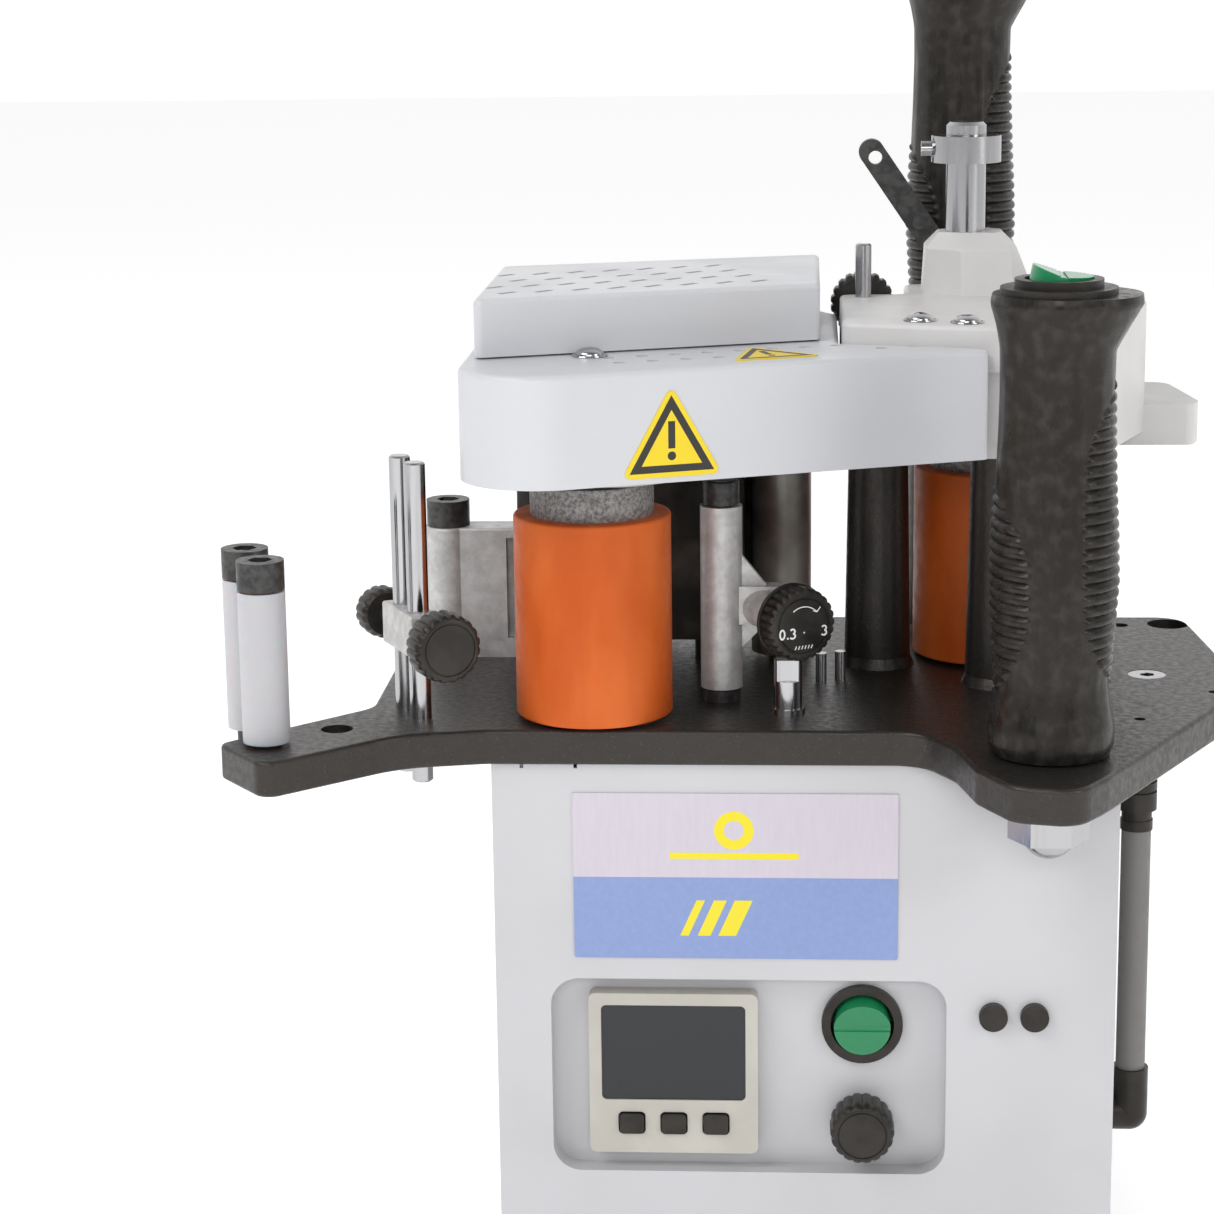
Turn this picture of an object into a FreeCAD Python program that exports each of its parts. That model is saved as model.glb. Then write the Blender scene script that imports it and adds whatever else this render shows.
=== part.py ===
"""Portable edge banding machine: a glue pot, three driven rollers and tape guides on a cast base
plate, over a control box.  Lengths in millimetres, +Z up.

Everything is laid out from one datum, the feed roller's axis where it meets the top of the base
plate: X to the right along the front, Y to the back.  When the nodes are written they are moved
so that the origin lies on the ground under the middle of the whole machine.
"""
import FreeCAD, Part
import math
import os

V = FreeCAD.Vector
UP = V(0, 0, 1)

# ---------------------------------------------------------------- driving dimensions
PLATE_THICK = 10.0
BOX_WIDE, BOX_DEEP, BOX_HIGH = 174.0, 138.0, 140.0
BOX_LEFT, BOX_FRONT = -28.0, -17.0          # the box's left side and front face from the datum
FOOT_HIGH = 10.0
SHEET = 1.5                                  # folded steel sheet
RUN = 0.04                                   # running clearance on a radius
GAP = 0.5                                    # clearance between pieces that move past each other

ROLLER_R, ROLLER_HIGH, CORE_R = 22.0, 58.0, 16.0
GLUE_R, GLUE_HIGH = 9.0, 60.0
SHAFT_R, BUSH_R = 5.0, 8.0
WEB_LOW, WEB_TOP = 68.0, 76.0                # the casting's floor, which carries the top bearings
DECK_LOW, DECK_TOP = 100.0, 107.0            # the casting's roof
GEAR_LOW, GEAR_TOP = 78.0, 86.0
COVER_LOW, COVER_TOP = 71.0, 101.5           # the lower cover
HOOD_TOP = 118.0                             # the upper cover
MODULE = 1.0
PRESS_TEETH, FEED_TEETH, PINION_TEETH, IDLER_TEETH, GLUE_TEETH = 44, 44, 27, 34, 18

PLATE_LOW = -PLATE_THICK
BOX_RIGHT, BOX_BACK = BOX_LEFT + BOX_WIDE, BOX_FRONT + BOX_DEEP
BOX_TOP = PLATE_LOW
BOX_LOW = BOX_TOP - BOX_HIGH
FLOOR = BOX_LOW - FOOT_HIGH

FEED = V(0, 0, 0)
PRESS = V(113.8, 73.9, 0)
GLUE = V(52, 71, 0)
HANDLE = V(124.6, -39, 0)
REAR_HANDLE = V(108, 141, 0)
MAST = V(107.5, 100, 0)
SWIVEL = V(35.4, 17.3, 0)
NYLONS = (V(-87.5, -34.3, 0), V(-94.6, -18.4, 0))
RODS = (V(-48.8, -5.1, 0), V(-54.4, 6.0, 0))
KNOB_AXIS = V(0.47, -0.88, 0).normalize()    # the clamp knobs and the dial face the operator


# ---------------------------------------------------------------- small geometry helpers
def cyl(at, low, top, radius):
    return Part.makeCylinder(radius, top - low, V(at.x, at.y, low))


def ring(at, low, top, outer, inner):
    return cyl(at, low, top, outer).cut(cyl(at, low, top, inner))


def rod(start, end, radius):
    along = end - start
    return Part.makeCylinder(radius, along.Length, start, along)


def cone(at, low, top, radius_low, radius_top):
    return Part.makeCone(radius_low, radius_top, top - low, V(at.x, at.y, low))


def block(x0, x1, y0, y1, z0, z1):
    return Part.makeBox(x1 - x0, y1 - y0, z1 - z0, V(x0, y0, z0))


def join(first, *others):
    return first.fuse(list(others)).removeSplitter()


def outline(points, radii, z):
    """A closed wire through the points, each corner rounded by its own radius (0 is sharp)."""
    corners = [V(x, y, z) for x, y in points]
    edges, ends = [], []
    for i, corner in enumerate(corners):
        back = (corners[i - 1] - corner).normalize()
        on = (corners[(i + 1) % len(corners)] - corner).normalize()
        if radii[i] == 0:
            ends.append((corner, corner, None))
            continue
        half = back.getAngle(on) / 2
        reach = radii[i] / math.tan(half)
        middle = (back + on).normalize()
        arc_mid = corner + middle * (radii[i] / math.sin(half) - radii[i])
        ends.append((corner + back * reach, corner + on * reach, arc_mid))
    for i, (start, end, arc_mid) in enumerate(ends):
        if arc_mid is not None:
            edges.append(Part.Arc(start, arc_mid, end).toShape())
        following = ends[(i + 1) % len(ends)][0]
        if end.distanceToPoint(following) > 1e-6:
            edges.append(Part.LineSegment(end, following).toShape())
    return Part.Wire(edges)


def prism(points, radii, low, top):
    return Part.Face(outline(points, radii, low)).extrude(V(0, 0, top - low))


def rim(shape, z):
    """The edges of a shape's outline at height z, without the circles of its holes."""
    return [e for e in shape.Edges if abs(e.BoundBox.ZMin - z) < 1e-4 and abs(e.BoundBox.ZMax - z) < 1e-4
            and not e.isClosed()]


def same_radius(points, radius):
    return [radius] * len(points)


def rectangle(x0, x1, y0, y1):
    return [(x0, y0), (x1, y0), (x1, y1), (x0, y1)]


def panel_prism(x0, x1, z0, z1, radius, front, back):
    """A rounded rectangle in the X-Z plane, carried from the front to the back in Y."""
    shape = prism(rectangle(x0, x1, z0, z1), [radius] * 4, -back, -front)
    shape.rotate(V(0, 0, 0), V(1, 0, 0), 90)
    return shape


def hexagon(at, low, top, across_flats):
    radius = across_flats / math.sqrt(3)
    turns = [math.radians(60 * i) for i in range(6)]
    points = [(at.x + radius * math.cos(t), at.y + radius * math.sin(t)) for t in turns]
    return prism(points, [0] * 6, low, top)


def along_axis(shape, at, axis):
    """Turns a shape drawn up +Z at the origin so that it points along axis, and moves it to at."""
    shape.Placement = FreeCAD.Placement(at, FreeCAD.Rotation(UP, axis))
    return shape


def knurled(radius, depth, ribs, rib_r):
    """A knob drawn up +Z: a cylinder with round ribs proud of its rim and a dished face."""
    body = cyl(V(), 0, depth, radius)
    for i in range(ribs):
        turn = 2 * math.pi * i / ribs
        body = body.fuse(cyl(V(radius * math.cos(turn), radius * math.sin(turn), 0), 0.8, depth - 1.2, rib_r))
    return body.cut(cyl(V(), depth - 0.8, depth + 1, radius - 2.2)).removeSplitter()


def cap_screw(at, under_head, length, shank_r, head_r, head_high, socket):
    """A socket head cap screw standing on end."""
    body = join(cyl(at, under_head - length, under_head, shank_r),
                cyl(at, under_head, under_head + head_high, head_r))
    return body.cut(hexagon(at, under_head + head_high * 0.45, under_head + head_high + 1, socket))


def dome_screw(at, base, radius, high, shank_r, shank):
    """A round headed screw: a spherical cap on a short shank, with a cross slot."""
    ball_r = (radius ** 2 + high ** 2) / (2 * high)
    ball = Part.makeSphere(ball_r, V(at.x, at.y, base + high - ball_r))
    head = ball.common(cyl(at, base, base + high, radius))
    slot = block(at.x - radius * 0.6, at.x + radius * 0.6, at.y - 0.4, at.y + 0.4,
                 base + high * 0.5, base + high + 1)
    slot = slot.fuse(block(at.x - 0.4, at.x + 0.4, at.y - radius * 0.6, at.y + radius * 0.6,
                           base + high * 0.5, base + high + 1))
    return join(head.cut(slot), cyl(at, base - shank, base, shank_r))


def between_circles(first, r_first, second, r_second, side):
    """The point at r_first from first and r_second from second, on the left (+1) or right (-1)."""
    line = second - first
    along = (r_first ** 2 - r_second ** 2 + line.Length ** 2) / (2 * line.Length)
    off = math.sqrt(r_first ** 2 - along ** 2)
    ahead = V(line).normalize()
    return first + ahead * along + V(-ahead.y, ahead.x, 0) * (off * side)


# ---------------------------------------------------------------- gear train layout
def pitch_r(teeth):
    return MODULE * teeth / 2


DRIVE_WAY = V(-33.0, -13.0, 0).normalize()
DRIVE = PRESS + DRIVE_WAY * (pitch_r(PRESS_TEETH) + pitch_r(PINION_TEETH))
IDLER_A = between_circles(DRIVE, pitch_r(PINION_TEETH) + pitch_r(IDLER_TEETH),
                          GLUE, pitch_r(IDLER_TEETH) + pitch_r(GLUE_TEETH), 1)
IDLER_B = between_circles(FEED, pitch_r(FEED_TEETH) + pitch_r(IDLER_TEETH),
                          IDLER_A, 2 * pitch_r(IDLER_TEETH), -1)


def mesh_turn(first, first_turn, first_teeth, second, second_teeth):
    """The angle of a tooth on the second gear that puts a gap opposite the first gear's tooth."""
    line = second - first
    way = math.atan2(line.y, line.x)
    ratio = first_teeth / second_teeth
    return way + math.pi - ratio * (first_turn - way) - math.pi / second_teeth


def gear(at, teeth, turn, bore):
    """A spur gear with involute flanks of 20 degrees, thinned for backlash."""
    backlash = 0.14
    pitch = pitch_r(teeth)
    base = pitch * math.cos(math.radians(20))
    root, tip = pitch - 1.3 * MODULE, pitch + 0.92 * MODULE
    involute = math.tan(math.radians(20)) - math.radians(20)
    half_pitch = math.pi / (2 * teeth) - backlash / (2 * pitch)
    flank = []
    for step in range(4):
        radius = max(base, root + 0.1) + (tip - max(base, root + 0.1)) * step / 3
        pressure = math.acos(min(1, base / radius))
        flank.append((radius, half_pitch + involute - (math.tan(pressure) - pressure)))
    points = []
    for tooth in range(teeth):
        middle = turn + 2 * math.pi * tooth / teeth
        points.append((root, middle - flank[0][1] - 0.01))
        points += [(radius, middle - half) for radius, half in flank]
        points += [(radius, middle + half) for radius, half in reversed(flank)]
        points.append((root, middle + flank[0][1] + 0.01))
    corners = [V(at.x + r * math.cos(a), at.y + r * math.sin(a), GEAR_LOW) for r, a in points]
    face = Part.Face(Part.makePolygon(corners + [corners[0]]))
    wheel = face.extrude(V(0, 0, GEAR_TOP - GEAR_LOW))
    if pitch > 15:
        wheel = wheel.cut(ring(at, GEAR_TOP - 2, GEAR_TOP + 1, root - 2.5, bore + 4))
    return wheel.cut(cyl(at, GEAR_LOW - 1, GEAR_TOP + 1, bore))


# ---------------------------------------------------------------- base plate and box
PLATE_SCREW = V(159.6, 46.9, 0)


def base_plate():
    edge = [(-101.2, -33.4), (-85.2, -55.2), (-52.2, -24.4), (-28.9, -19), (90.7, -19), (99.5, -35.4),
            (104, -56), (112.3, -72.5), (129.3, -76.5), (138, -62.8), (173.9, 6.7), (186, 30),
            (183, 77), (178.8, 122), (-40, 122), (-64, 96), (-64, 6)]
    radii = [3, 5, 30, 14, 12, 16, 8, 8, 9, 8, 10, 12, 10, 10, 12, 14, 12]
    plate = prism(edge, radii, PLATE_LOW, 0)
    plate = plate.makeFillet(1.2, rim(plate, 0) + rim(plate, PLATE_LOW))
    for at in (FEED, PRESS, DRIVE):
        plate = plate.cut(cyl(at, PLATE_LOW - 1, 1, BUSH_R))
    plate = plate.cut(cyl(GLUE, PLATE_LOW - 1, 1, BUSH_R - 1.5))
    holes = [(V(-70.7, -18.3, 0), 4.5), (V(173.2, 111.7, 0), 4.5), (V(158.1, 110.2, 0), 2.5),
             (V(152.1, -4.4, 0), 1.6), (V(176.4, 25.9, 0), 1.6), (PLATE_SCREW, 2.5),
             (HANDLE, 5.0), (V(153.5, 10, 0), 4.3), (V(-50, 100, 0), 4.5)]
    holes += [(at, 4.0) for at in NYLONS] + [(at, 3.0) for at in RODS]
    for at, radius in holes:
        plate = plate.cut(cyl(at, PLATE_LOW - 1, 1, radius))
    plate = plate.cut(cyl(V(173.2, 111.7, 0), -3, 1, 6.5))
    return plate.cut(cone(PLATE_SCREW, -3.1, 0, 2.5, 5.6))


def control_box():
    """A folded tray with a floor, two sides and a back, and lips for the front panel and plate."""
    front = BOX_FRONT + SHEET
    shell = block(BOX_LEFT, BOX_RIGHT, front, BOX_BACK, BOX_LOW, BOX_TOP)
    shell = shell.cut(block(BOX_LEFT + SHEET, BOX_RIGHT - SHEET, front - 1, BOX_BACK - SHEET,
                            BOX_LOW + SHEET, BOX_TOP + 1))
    lip = 9.0
    for side in (BOX_LEFT + SHEET, BOX_RIGHT - SHEET - lip):
        shell = shell.fuse(block(side, side + lip, front, front + SHEET, BOX_LOW + SHEET, BOX_TOP))
        shell = shell.fuse(block(side, side + lip, front, BOX_BACK - SHEET, BOX_TOP - SHEET, BOX_TOP))
    for row in range(6):
        for column in range(2):
            x = BOX_LEFT + 30 + 34 * column
            z = BOX_LOW + 45 + 9 * row
            shell = shell.cut(block(x, x + 26, BOX_BACK - SHEET - 1, BOX_BACK + 1, z, z + 3))
    inlet = block(101, 127, BOX_BACK - SHEET - 1, BOX_BACK + 1, -124, -104)
    elbow = rod(V(BOX_RIGHT - SHEET - 1, 10, -122), V(BOX_RIGHT + 1, 10, -122), 5.0)
    return shell.cut(inlet).cut(elbow).removeSplitter()


PANEL_BACK = BOX_FRONT + SHEET
RECESS = (-12.5, 99.0, -131.0, -73.0)        # left, right, low and top of the control recess
RECESS_FLOOR = BOX_FRONT + 7.0
CONTROL_X, CONTROL_Z, CONTROL_SIDE = 22.0, -102.0, 48.0
SWITCH = V(75.5, 0, -88.0)
SPEED = V(75.5, 0, -117.0)
LAMPS = (V(112, 0, -83), V(123.5, 0, -83))


def front_panel():
    sheet = block(BOX_LEFT, BOX_RIGHT, BOX_FRONT, PANEL_BACK, BOX_LOW, BOX_TOP - 0.2)
    sheet = sheet.cut(panel_prism(*RECESS, 8, BOX_FRONT - 1, PANEL_BACK + 1))
    for x in (BOX_LEFT + 8, BOX_LEFT + 23):
        sheet = sheet.cut(block(x, x + 1.0, BOX_FRONT - 1, PANEL_BACK + 1, BOX_TOP - 1.4, BOX_TOP + 1))
    for lamp in LAMPS:
        sheet = sheet.cut(rod(V(lamp.x, BOX_FRONT - 1, lamp.z), V(lamp.x, PANEL_BACK + 1, lamp.z), 3.0))
    return sheet


def control_recess():
    """The pressed pan behind the panel's opening, with holes for the controls."""
    left, right, low, top = RECESS
    pan = panel_prism(left - 1.2, right + 1.2, low - 1.2, top + 1.2, 9.2, PANEL_BACK, RECESS_FLOOR + SHEET)
    pan = pan.cut(panel_prism(left, right, low, top, 8, PANEL_BACK - 1, RECESS_FLOOR))
    half = CONTROL_SIDE / 2 - 1.5
    pan = pan.cut(block(CONTROL_X - half, CONTROL_X + half, PANEL_BACK, RECESS_FLOOR + 3,
                        CONTROL_Z - half, CONTROL_Z + half))
    for at, radius in ((SWITCH, 10.0), (SPEED, 3.5)):
        pan = pan.cut(rod(V(at.x, PANEL_BACK, at.z), V(at.x, RECESS_FLOOR + 3, at.z), radius))
    return pan


def rubber_feet():
    feet = []
    for x in (BOX_LEFT + 18, BOX_RIGHT - 18):
        for y in (BOX_FRONT + 18, BOX_BACK - 18):
            feet.append(cone(V(x, y, 0), FLOOR, BOX_LOW, 10, 12))
    return Part.makeCompound(feet)


# ---------------------------------------------------------------- controls
BEZEL_FRONT = RECESS_FLOOR - 5.5
KEYS = 3
KEY_PITCH = 12.0


def key_x(index):
    return CONTROL_X + (index - (KEYS - 1) / 2) * KEY_PITCH


def temperature_controller():
    side = CONTROL_SIDE / 2
    back = side - 2.0
    body = join(panel_prism(CONTROL_X - side, CONTROL_X + side, CONTROL_Z - side, CONTROL_Z + side, 2.0,
                            BEZEL_FRONT, RECESS_FLOOR),
                block(CONTROL_X - back, CONTROL_X + back, RECESS_FLOOR, RECESS_FLOOR + 62,
                      CONTROL_Z - back, CONTROL_Z + back))
    body = body.cut(panel_prism(CONTROL_X - 20.5, CONTROL_X + 20.5, CONTROL_Z - 8, CONTROL_Z + 20.5, 1.5,
                                BEZEL_FRONT - 1, BEZEL_FRONT + 2.0))
    for index in range(KEYS):
        x = key_x(index)
        body = body.cut(panel_prism(x - 3.9, x + 3.9, CONTROL_Z - 18.4, CONTROL_Z - 11.6, 1.4,
                                    BEZEL_FRONT - 1, BEZEL_FRONT + 4.0))
    return body


def controller_window():
    return panel_prism(CONTROL_X - 20.5, CONTROL_X + 20.5, CONTROL_Z - 8, CONTROL_Z + 20.5, 1.5,
                       BEZEL_FRONT + 0.6, BEZEL_FRONT + 2.0)


def controller_key(index):
    x = key_x(index)
    return panel_prism(x - 3.5, x + 3.5, CONTROL_Z - 18, CONTROL_Z - 12, 1.2,
                       BEZEL_FRONT - 0.9, BEZEL_FRONT + 2.4)


def round_rocker(radius, proud):
    """A rocker drawn up +Z about its pivot: a rounded paddle whose top is a shallow V."""
    paddle = cyl(V(), -3, proud + 4, radius)
    for side in (-1, 1):
        cutter = block(-radius - 1, radius + 1, -1, radius * 2, proud, proud + 12)
        cutter.rotate(V(0, 0, proud), V(1, 0, 0), 9)
        if side < 0:
            cutter.rotate(V(), UP, 180)
        paddle = paddle.cut(cutter)
    return paddle


def rocker_frame(radius, ring_high, body_deep, body_r, well_r):
    """The switch's fixed part: a flanged ring on a body, with a well for the rocker."""
    body = join(cyl(V(), 0, ring_high, radius), cyl(V(), -body_deep, 0, body_r))
    return body.cut(cyl(V(), -6.5, ring_high + 1, well_r))


ROCKER_R, ROCKER_PROUD = 8.0, 3.2
ROCKER_WELL = 9.0
ROCKER_TILT = 12.0                           # each rocker rests pressed on one side
RING_HIGH = 2.2
SWITCH_AT = V(SWITCH.x, RECESS_FLOOR, SWITCH.z)
FRONTWARD = V(0, -1, 0)


def panel_fittings():
    """Two lamp bezels, and the potentiometer behind the speed knob with its spindle."""
    at = V(SPEED.x, RECESS_FLOOR + SHEET, SPEED.z)
    lamps = [join(rod(at, at + V(0, 11, 0), 8.0), rod(at, at + V(0, -10, 0), 3.0))]
    for lamp in LAMPS:
        face = V(lamp.x, BOX_FRONT, lamp.z)
        lamps.append(join(rod(face, face + V(0, -2.2, 0), 4.0), rod(face, face + V(0, 9, 0), 3.0)))
    return Part.makeCompound(lamps)


def speed_knob():
    knob = knurled(8.6, 12, 18, 0.7)
    knob = knob.cut(cyl(V(), -1, 8, 3.0 + RUN))
    knob = knob.cut(block(-0.5, 0.5, 3, 10, 11.2, 13))
    return along_axis(knob, V(SPEED.x, RECESS_FLOOR - 1.0, SPEED.z), FRONTWARD)


def mains_inlet():
    """A flanged inlet with three blades set back in its well."""
    middle = (114.0, -114.0)
    body = join(block(middle[0] - 18, middle[0] + 18, BOX_BACK, BOX_BACK + 2.2,
                      middle[1] - 13, middle[1] + 13),
                block(middle[0] - 13, middle[0] + 13, BOX_BACK - 18, BOX_BACK,
                      middle[1] - 10, middle[1] + 10))
    well = prism([(middle[0] - 12, middle[1] - 8.5), (middle[0] + 12, middle[1] - 8.5),
                  (middle[0] + 12, middle[1] + 3), (middle[0] + 7, middle[1] + 8.5),
                  (middle[0] - 7, middle[1] + 8.5), (middle[0] - 12, middle[1] + 3)],
                 [1] * 6, -(BOX_BACK + 3), -(BOX_BACK - 15))
    well.rotate(V(), V(1, 0, 0), 90)
    body = body.cut(well)
    for dx, dz in ((-7, -2), (0, 3), (7, -2)):
        x, z = middle[0] + dx, middle[1] + dz
        body = body.fuse(block(x - 1, x + 1, BOX_BACK - 15.5, BOX_BACK - 5, z - 2, z + 2))
    return body.removeSplitter()


def label_plate():
    return panel_prism(-5.5, 85.1, -66.6, -18.4, 0.5, BOX_FRONT - 0.4, BOX_FRONT)


def drive_board():
    """The motor drive: a board on four pillars with its heat sink, capacitors and terminals."""
    low = BOX_LOW + SHEET
    board = block(-14, 62, 55, 105, low + 8, low + 9.6)
    for x in (-9, 57):
        for y in (60, 100):
            board = board.fuse(cyl(V(x, y, 0), low, low + 8, 3))
    board = board.fuse(block(-10, 20, 62, 70, low + 9.6, low + 34))
    for i in range(3):
        board = board.fuse(cyl(V(30 + 11 * i, 90, 0), low + 9.6, low + 28, 4.5))
    board = board.fuse(block(28, 58, 60, 70, low + 9.6, low + 19))
    return board.removeSplitter()


GEARBOX_LOW = -56.0
MOTOR_R = 29.0


def gear_motor():
    """A worm-free gearbox hung under the plate, with the motor below it."""
    box = block(DRIVE.x - 30, DRIVE.x + 30, DRIVE.y - 30, DRIVE.y + 30, GEARBOX_LOW, PLATE_LOW - 2)
    box = box.makeFillet(5, [e for e in box.Edges if abs(e.tangentAt(e.FirstParameter).z) > 0.9])
    motor = cyl(DRIVE, GEARBOX_LOW - 66, GEARBOX_LOW, MOTOR_R)
    cap = cyl(DRIVE, GEARBOX_LOW - 72, GEARBOX_LOW - 66, MOTOR_R - 8)
    body = join(box, motor, cap)
    for dx in (-22, 22):
        for dy in (-22, 22):
            body = body.fuse(cyl(DRIVE + V(dx, dy, 0), PLATE_LOW - 2, PLATE_LOW, 5))
    body = body.cut(cyl(DRIVE, GEARBOX_LOW + 8, 0, SHAFT_R + RUN))
    return body.removeSplitter()


# ---------------------------------------------------------------- upper casting and columns
COLUMN_B = V(115.5, 37, 0)
COLUMN_C = V(141, 97, 0)
COLUMN_D = V(100, 104, 0)
STOP_ROD = V(76.5, 86, 0)
ROD_CLAMP = V(76.5, 92.5, 103.5)
HEAD_SCREWS = (V(91.5, 29.5, 0), V(104.5, 24.5, 0))


BOSS_TOP = DECK_TOP + 18.2


def mast_boss():
    """An eight-sided boss with drafted walls and a steeper shoulder, round the mast's socket."""
    levels = (
        (DECK_TOP - 1, [(94.6, 93.8), (105.8, 85.6), (121.6, 85.6), (128.6, 96), (128.6, 110), (120, 116.4),
                        (103, 116.4), (94.6, 110)]),
        (DECK_TOP + 13.7, [(95.4, 93.8), (105.6, 86.4), (120.4, 86.4), (122.8, 96), (122.8, 109),
                           (117, 114.8), (103.6, 114.8), (95.4, 109.4)]),
        (BOSS_TOP, [(99.4, 97), (106.2, 93), (116.4, 93), (118.4, 98), (118.4, 105.6), (114.6, 109.4),
                    (104, 109.4), (99.4, 105.6)]))
    wires = []
    for z, points in levels:
        corners = [V(x, y, z) for x, y in points]
        wires.append(Part.makePolygon(corners + corners[:1]))
    boss = Part.makeLoft(wires, True, True)
    return boss.makeFillet(0.9, [e for e in boss.Edges if e.BoundBox.ZMin > DECK_TOP])


def upper_casting():
    """The painted head: a floor over the rollers, walls round the gears, a roof and its boss."""
    roof_edge = [(69.5, 24.4), (112, 13.2), (136, 13.2), (160, 74), (154, 96), (146, 112), (131, 118),
                 (89.5, 118), (89.5, 92.5), (69.5, 92.5)]
    head = prism(roof_edge, [4, 3, 6, 5, 8, 8, 4, 4, 4, 3], WEB_LOW, DECK_TOP)
    head = head.makeFillet(1.2, rim(head, DECK_TOP))
    room_edge = [(60, 32), (112.5, 21.5), (133, 21.5), (154.5, 75.5), (149.5, 94), (142, 108), (130, 112.5),
                 (94, 112.5), (94, 87), (60, 87)]
    head = head.cut(prism(room_edge, [0.5, 3, 4, 4, 5, 5, 3, 3, 3, 0.5], WEB_TOP, DECK_LOW))
    head = head.cut(block(96, 165, 5, 17.2, WEB_LOW - 1, 94.5))
    head = head.cut(block(76.5, 165, 5, 26, WEB_LOW - 1, 74.7))
    shelf = [(124, 104), (146, 76), (160, 76), (160, 118), (124, 118)]
    head = head.fuse(prism(shelf, [1, 1, 1, 3, 1], WEB_LOW, WEB_TOP))
    arm = [(-19, -6), (-8, -18), (12, -17), (46, 7), (62, 25), (75, 31), (75, 86), (46, 86), (36, 70),
           (20, 38), (-14, 15)]
    head = head.fuse(prism(arm, [12, 10, 10, 10, 6, 4, 4, 8, 10, 10, 12], WEB_LOW, WEB_TOP))
    flange = [(152, 72), (174, 72), (176.5, 80), (171, 118), (152, 118)]
    head = head.fuse(prism(flange, [1, 3, 6, 6, 1], WEB_LOW - 4, WEB_TOP))
    seat = [(90, 116), (128, 116), (128, 152), (108, 161), (88, 152)]
    head = head.fuse(prism(seat, [1, 1, 12, 14, 12], WEB_LOW - 2, WEB_TOP))
    head = head.fuse(mast_boss())
    for at in (FEED, PRESS, DRIVE):
        head = head.cut(cyl(at, WEB_LOW - 1, WEB_TOP + 1, BUSH_R))
    head = head.cut(cyl(GLUE, WEB_LOW - 1, WEB_TOP + 1, BUSH_R - 1.5))
    for at in (IDLER_A, IDLER_B):
        head = head.cut(cyl(at, WEB_LOW - 1, WEB_TOP + 1, 4.0))
    head = head.cut(cyl(MAST, DECK_TOP - 3, BOSS_TOP + 1, 6.0))
    head = head.cut(cyl(STOP_ROD, WEB_TOP + 1, DECK_TOP + 1, 2.4 + RUN))
    head = head.cut(rod(V(ROD_CLAMP.x, STOP_ROD.y + 2, ROD_CLAMP.z), ROD_CLAMP + V(0, 2, 0), 2.5 + RUN))
    head = head.cut(cyl(REAR_HANDLE, WEB_LOW - 5, WEB_TOP + 1, 5.0))
    for at in HEAD_SCREWS:
        head = head.cut(cyl(at, DECK_TOP - 5, DECK_TOP + 1, 2.0))
    return head.removeSplitter()


def support_columns():
    """Black tapered posts between the plate and the head; the first is hollow for the drive."""
    posts = [cone(DRIVE, 3, WEB_LOW, 9.8, 8.75).fuse(cone(DRIVE, 0, 3, 11, 9.8)).cut(
        cyl(DRIVE, -1, WEB_LOW + 1, SHAFT_R + 1.5))]
    for at in (COLUMN_B, COLUMN_C, COLUMN_D):
        posts.append(cone(at, 3, WEB_LOW, 9.8, 8.75).fuse(cone(at, 0, 3, 11, 9.8)))
    return Part.makeCompound([post.removeSplitter() for post in posts])


def shaft_bearings():
    """Bronze bushes in the plate and in the head's floor, one pair for each turning shaft."""
    bushes = []
    for low, top in ((PLATE_LOW, 0), (WEB_LOW, WEB_TOP)):
        for at in (FEED, PRESS, DRIVE):
            bushes.append(ring(at, low, top, BUSH_R, SHAFT_R + RUN))
        bushes.append(ring(GLUE, low, top, BUSH_R - 1.5, SHAFT_R - 1 + RUN))
    return Part.makeCompound(bushes)


def idler_studs():
    """Shouldered studs that carry the two idlers."""
    studs = []
    for at in (IDLER_A, IDLER_B):
        stud = join(cyl(at, WEB_LOW, GEAR_TOP + GAP, 4.0), cyl(at, GEAR_TOP + GAP, GEAR_TOP + 3, 6.0))
        studs.append(join(stud, ring(at, WEB_TOP, GEAR_LOW - GAP, 6.0, 4.0)))
    return Part.makeCompound(studs)


# ---------------------------------------------------------------- covers
LOWER_EDGE = [(-34.5, -49.2), (110, 8.1), (108.2, 13.2), (68.6, 23.8), (68.6, 89), (60, 104.6), (-34.5, 79)]
LOWER_ROUND = [22, 1.8, 1.8, 2, 3, 3, 4]
FOLD_R = 1.5
HOOD_EDGE = [(-31.4, -6.8), (63.3, 27.9), (63.3, 104), (-31.4, 76.4)]
COVER_WALL = 1.4
SLOPE = V(63.3 + 31.4, 27.9 + 6.8, 0).normalize()    # along the covers' front faces
INWARD = V(-SLOPE.y, SLOPE.x, 0)


def hood(points, radii, low, top, inset_points, inset_radii):
    """A folded cover, open below, with its top edge rounded by the fold."""
    outer = prism(points, radii, low, top)
    outer = outer.makeFillet(FOLD_R, [e for e in outer.Edges if e.BoundBox.ZMin > top - 0.01])
    return outer.cut(prism(inset_points, inset_radii, low - 1, top - COVER_WALL))


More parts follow.
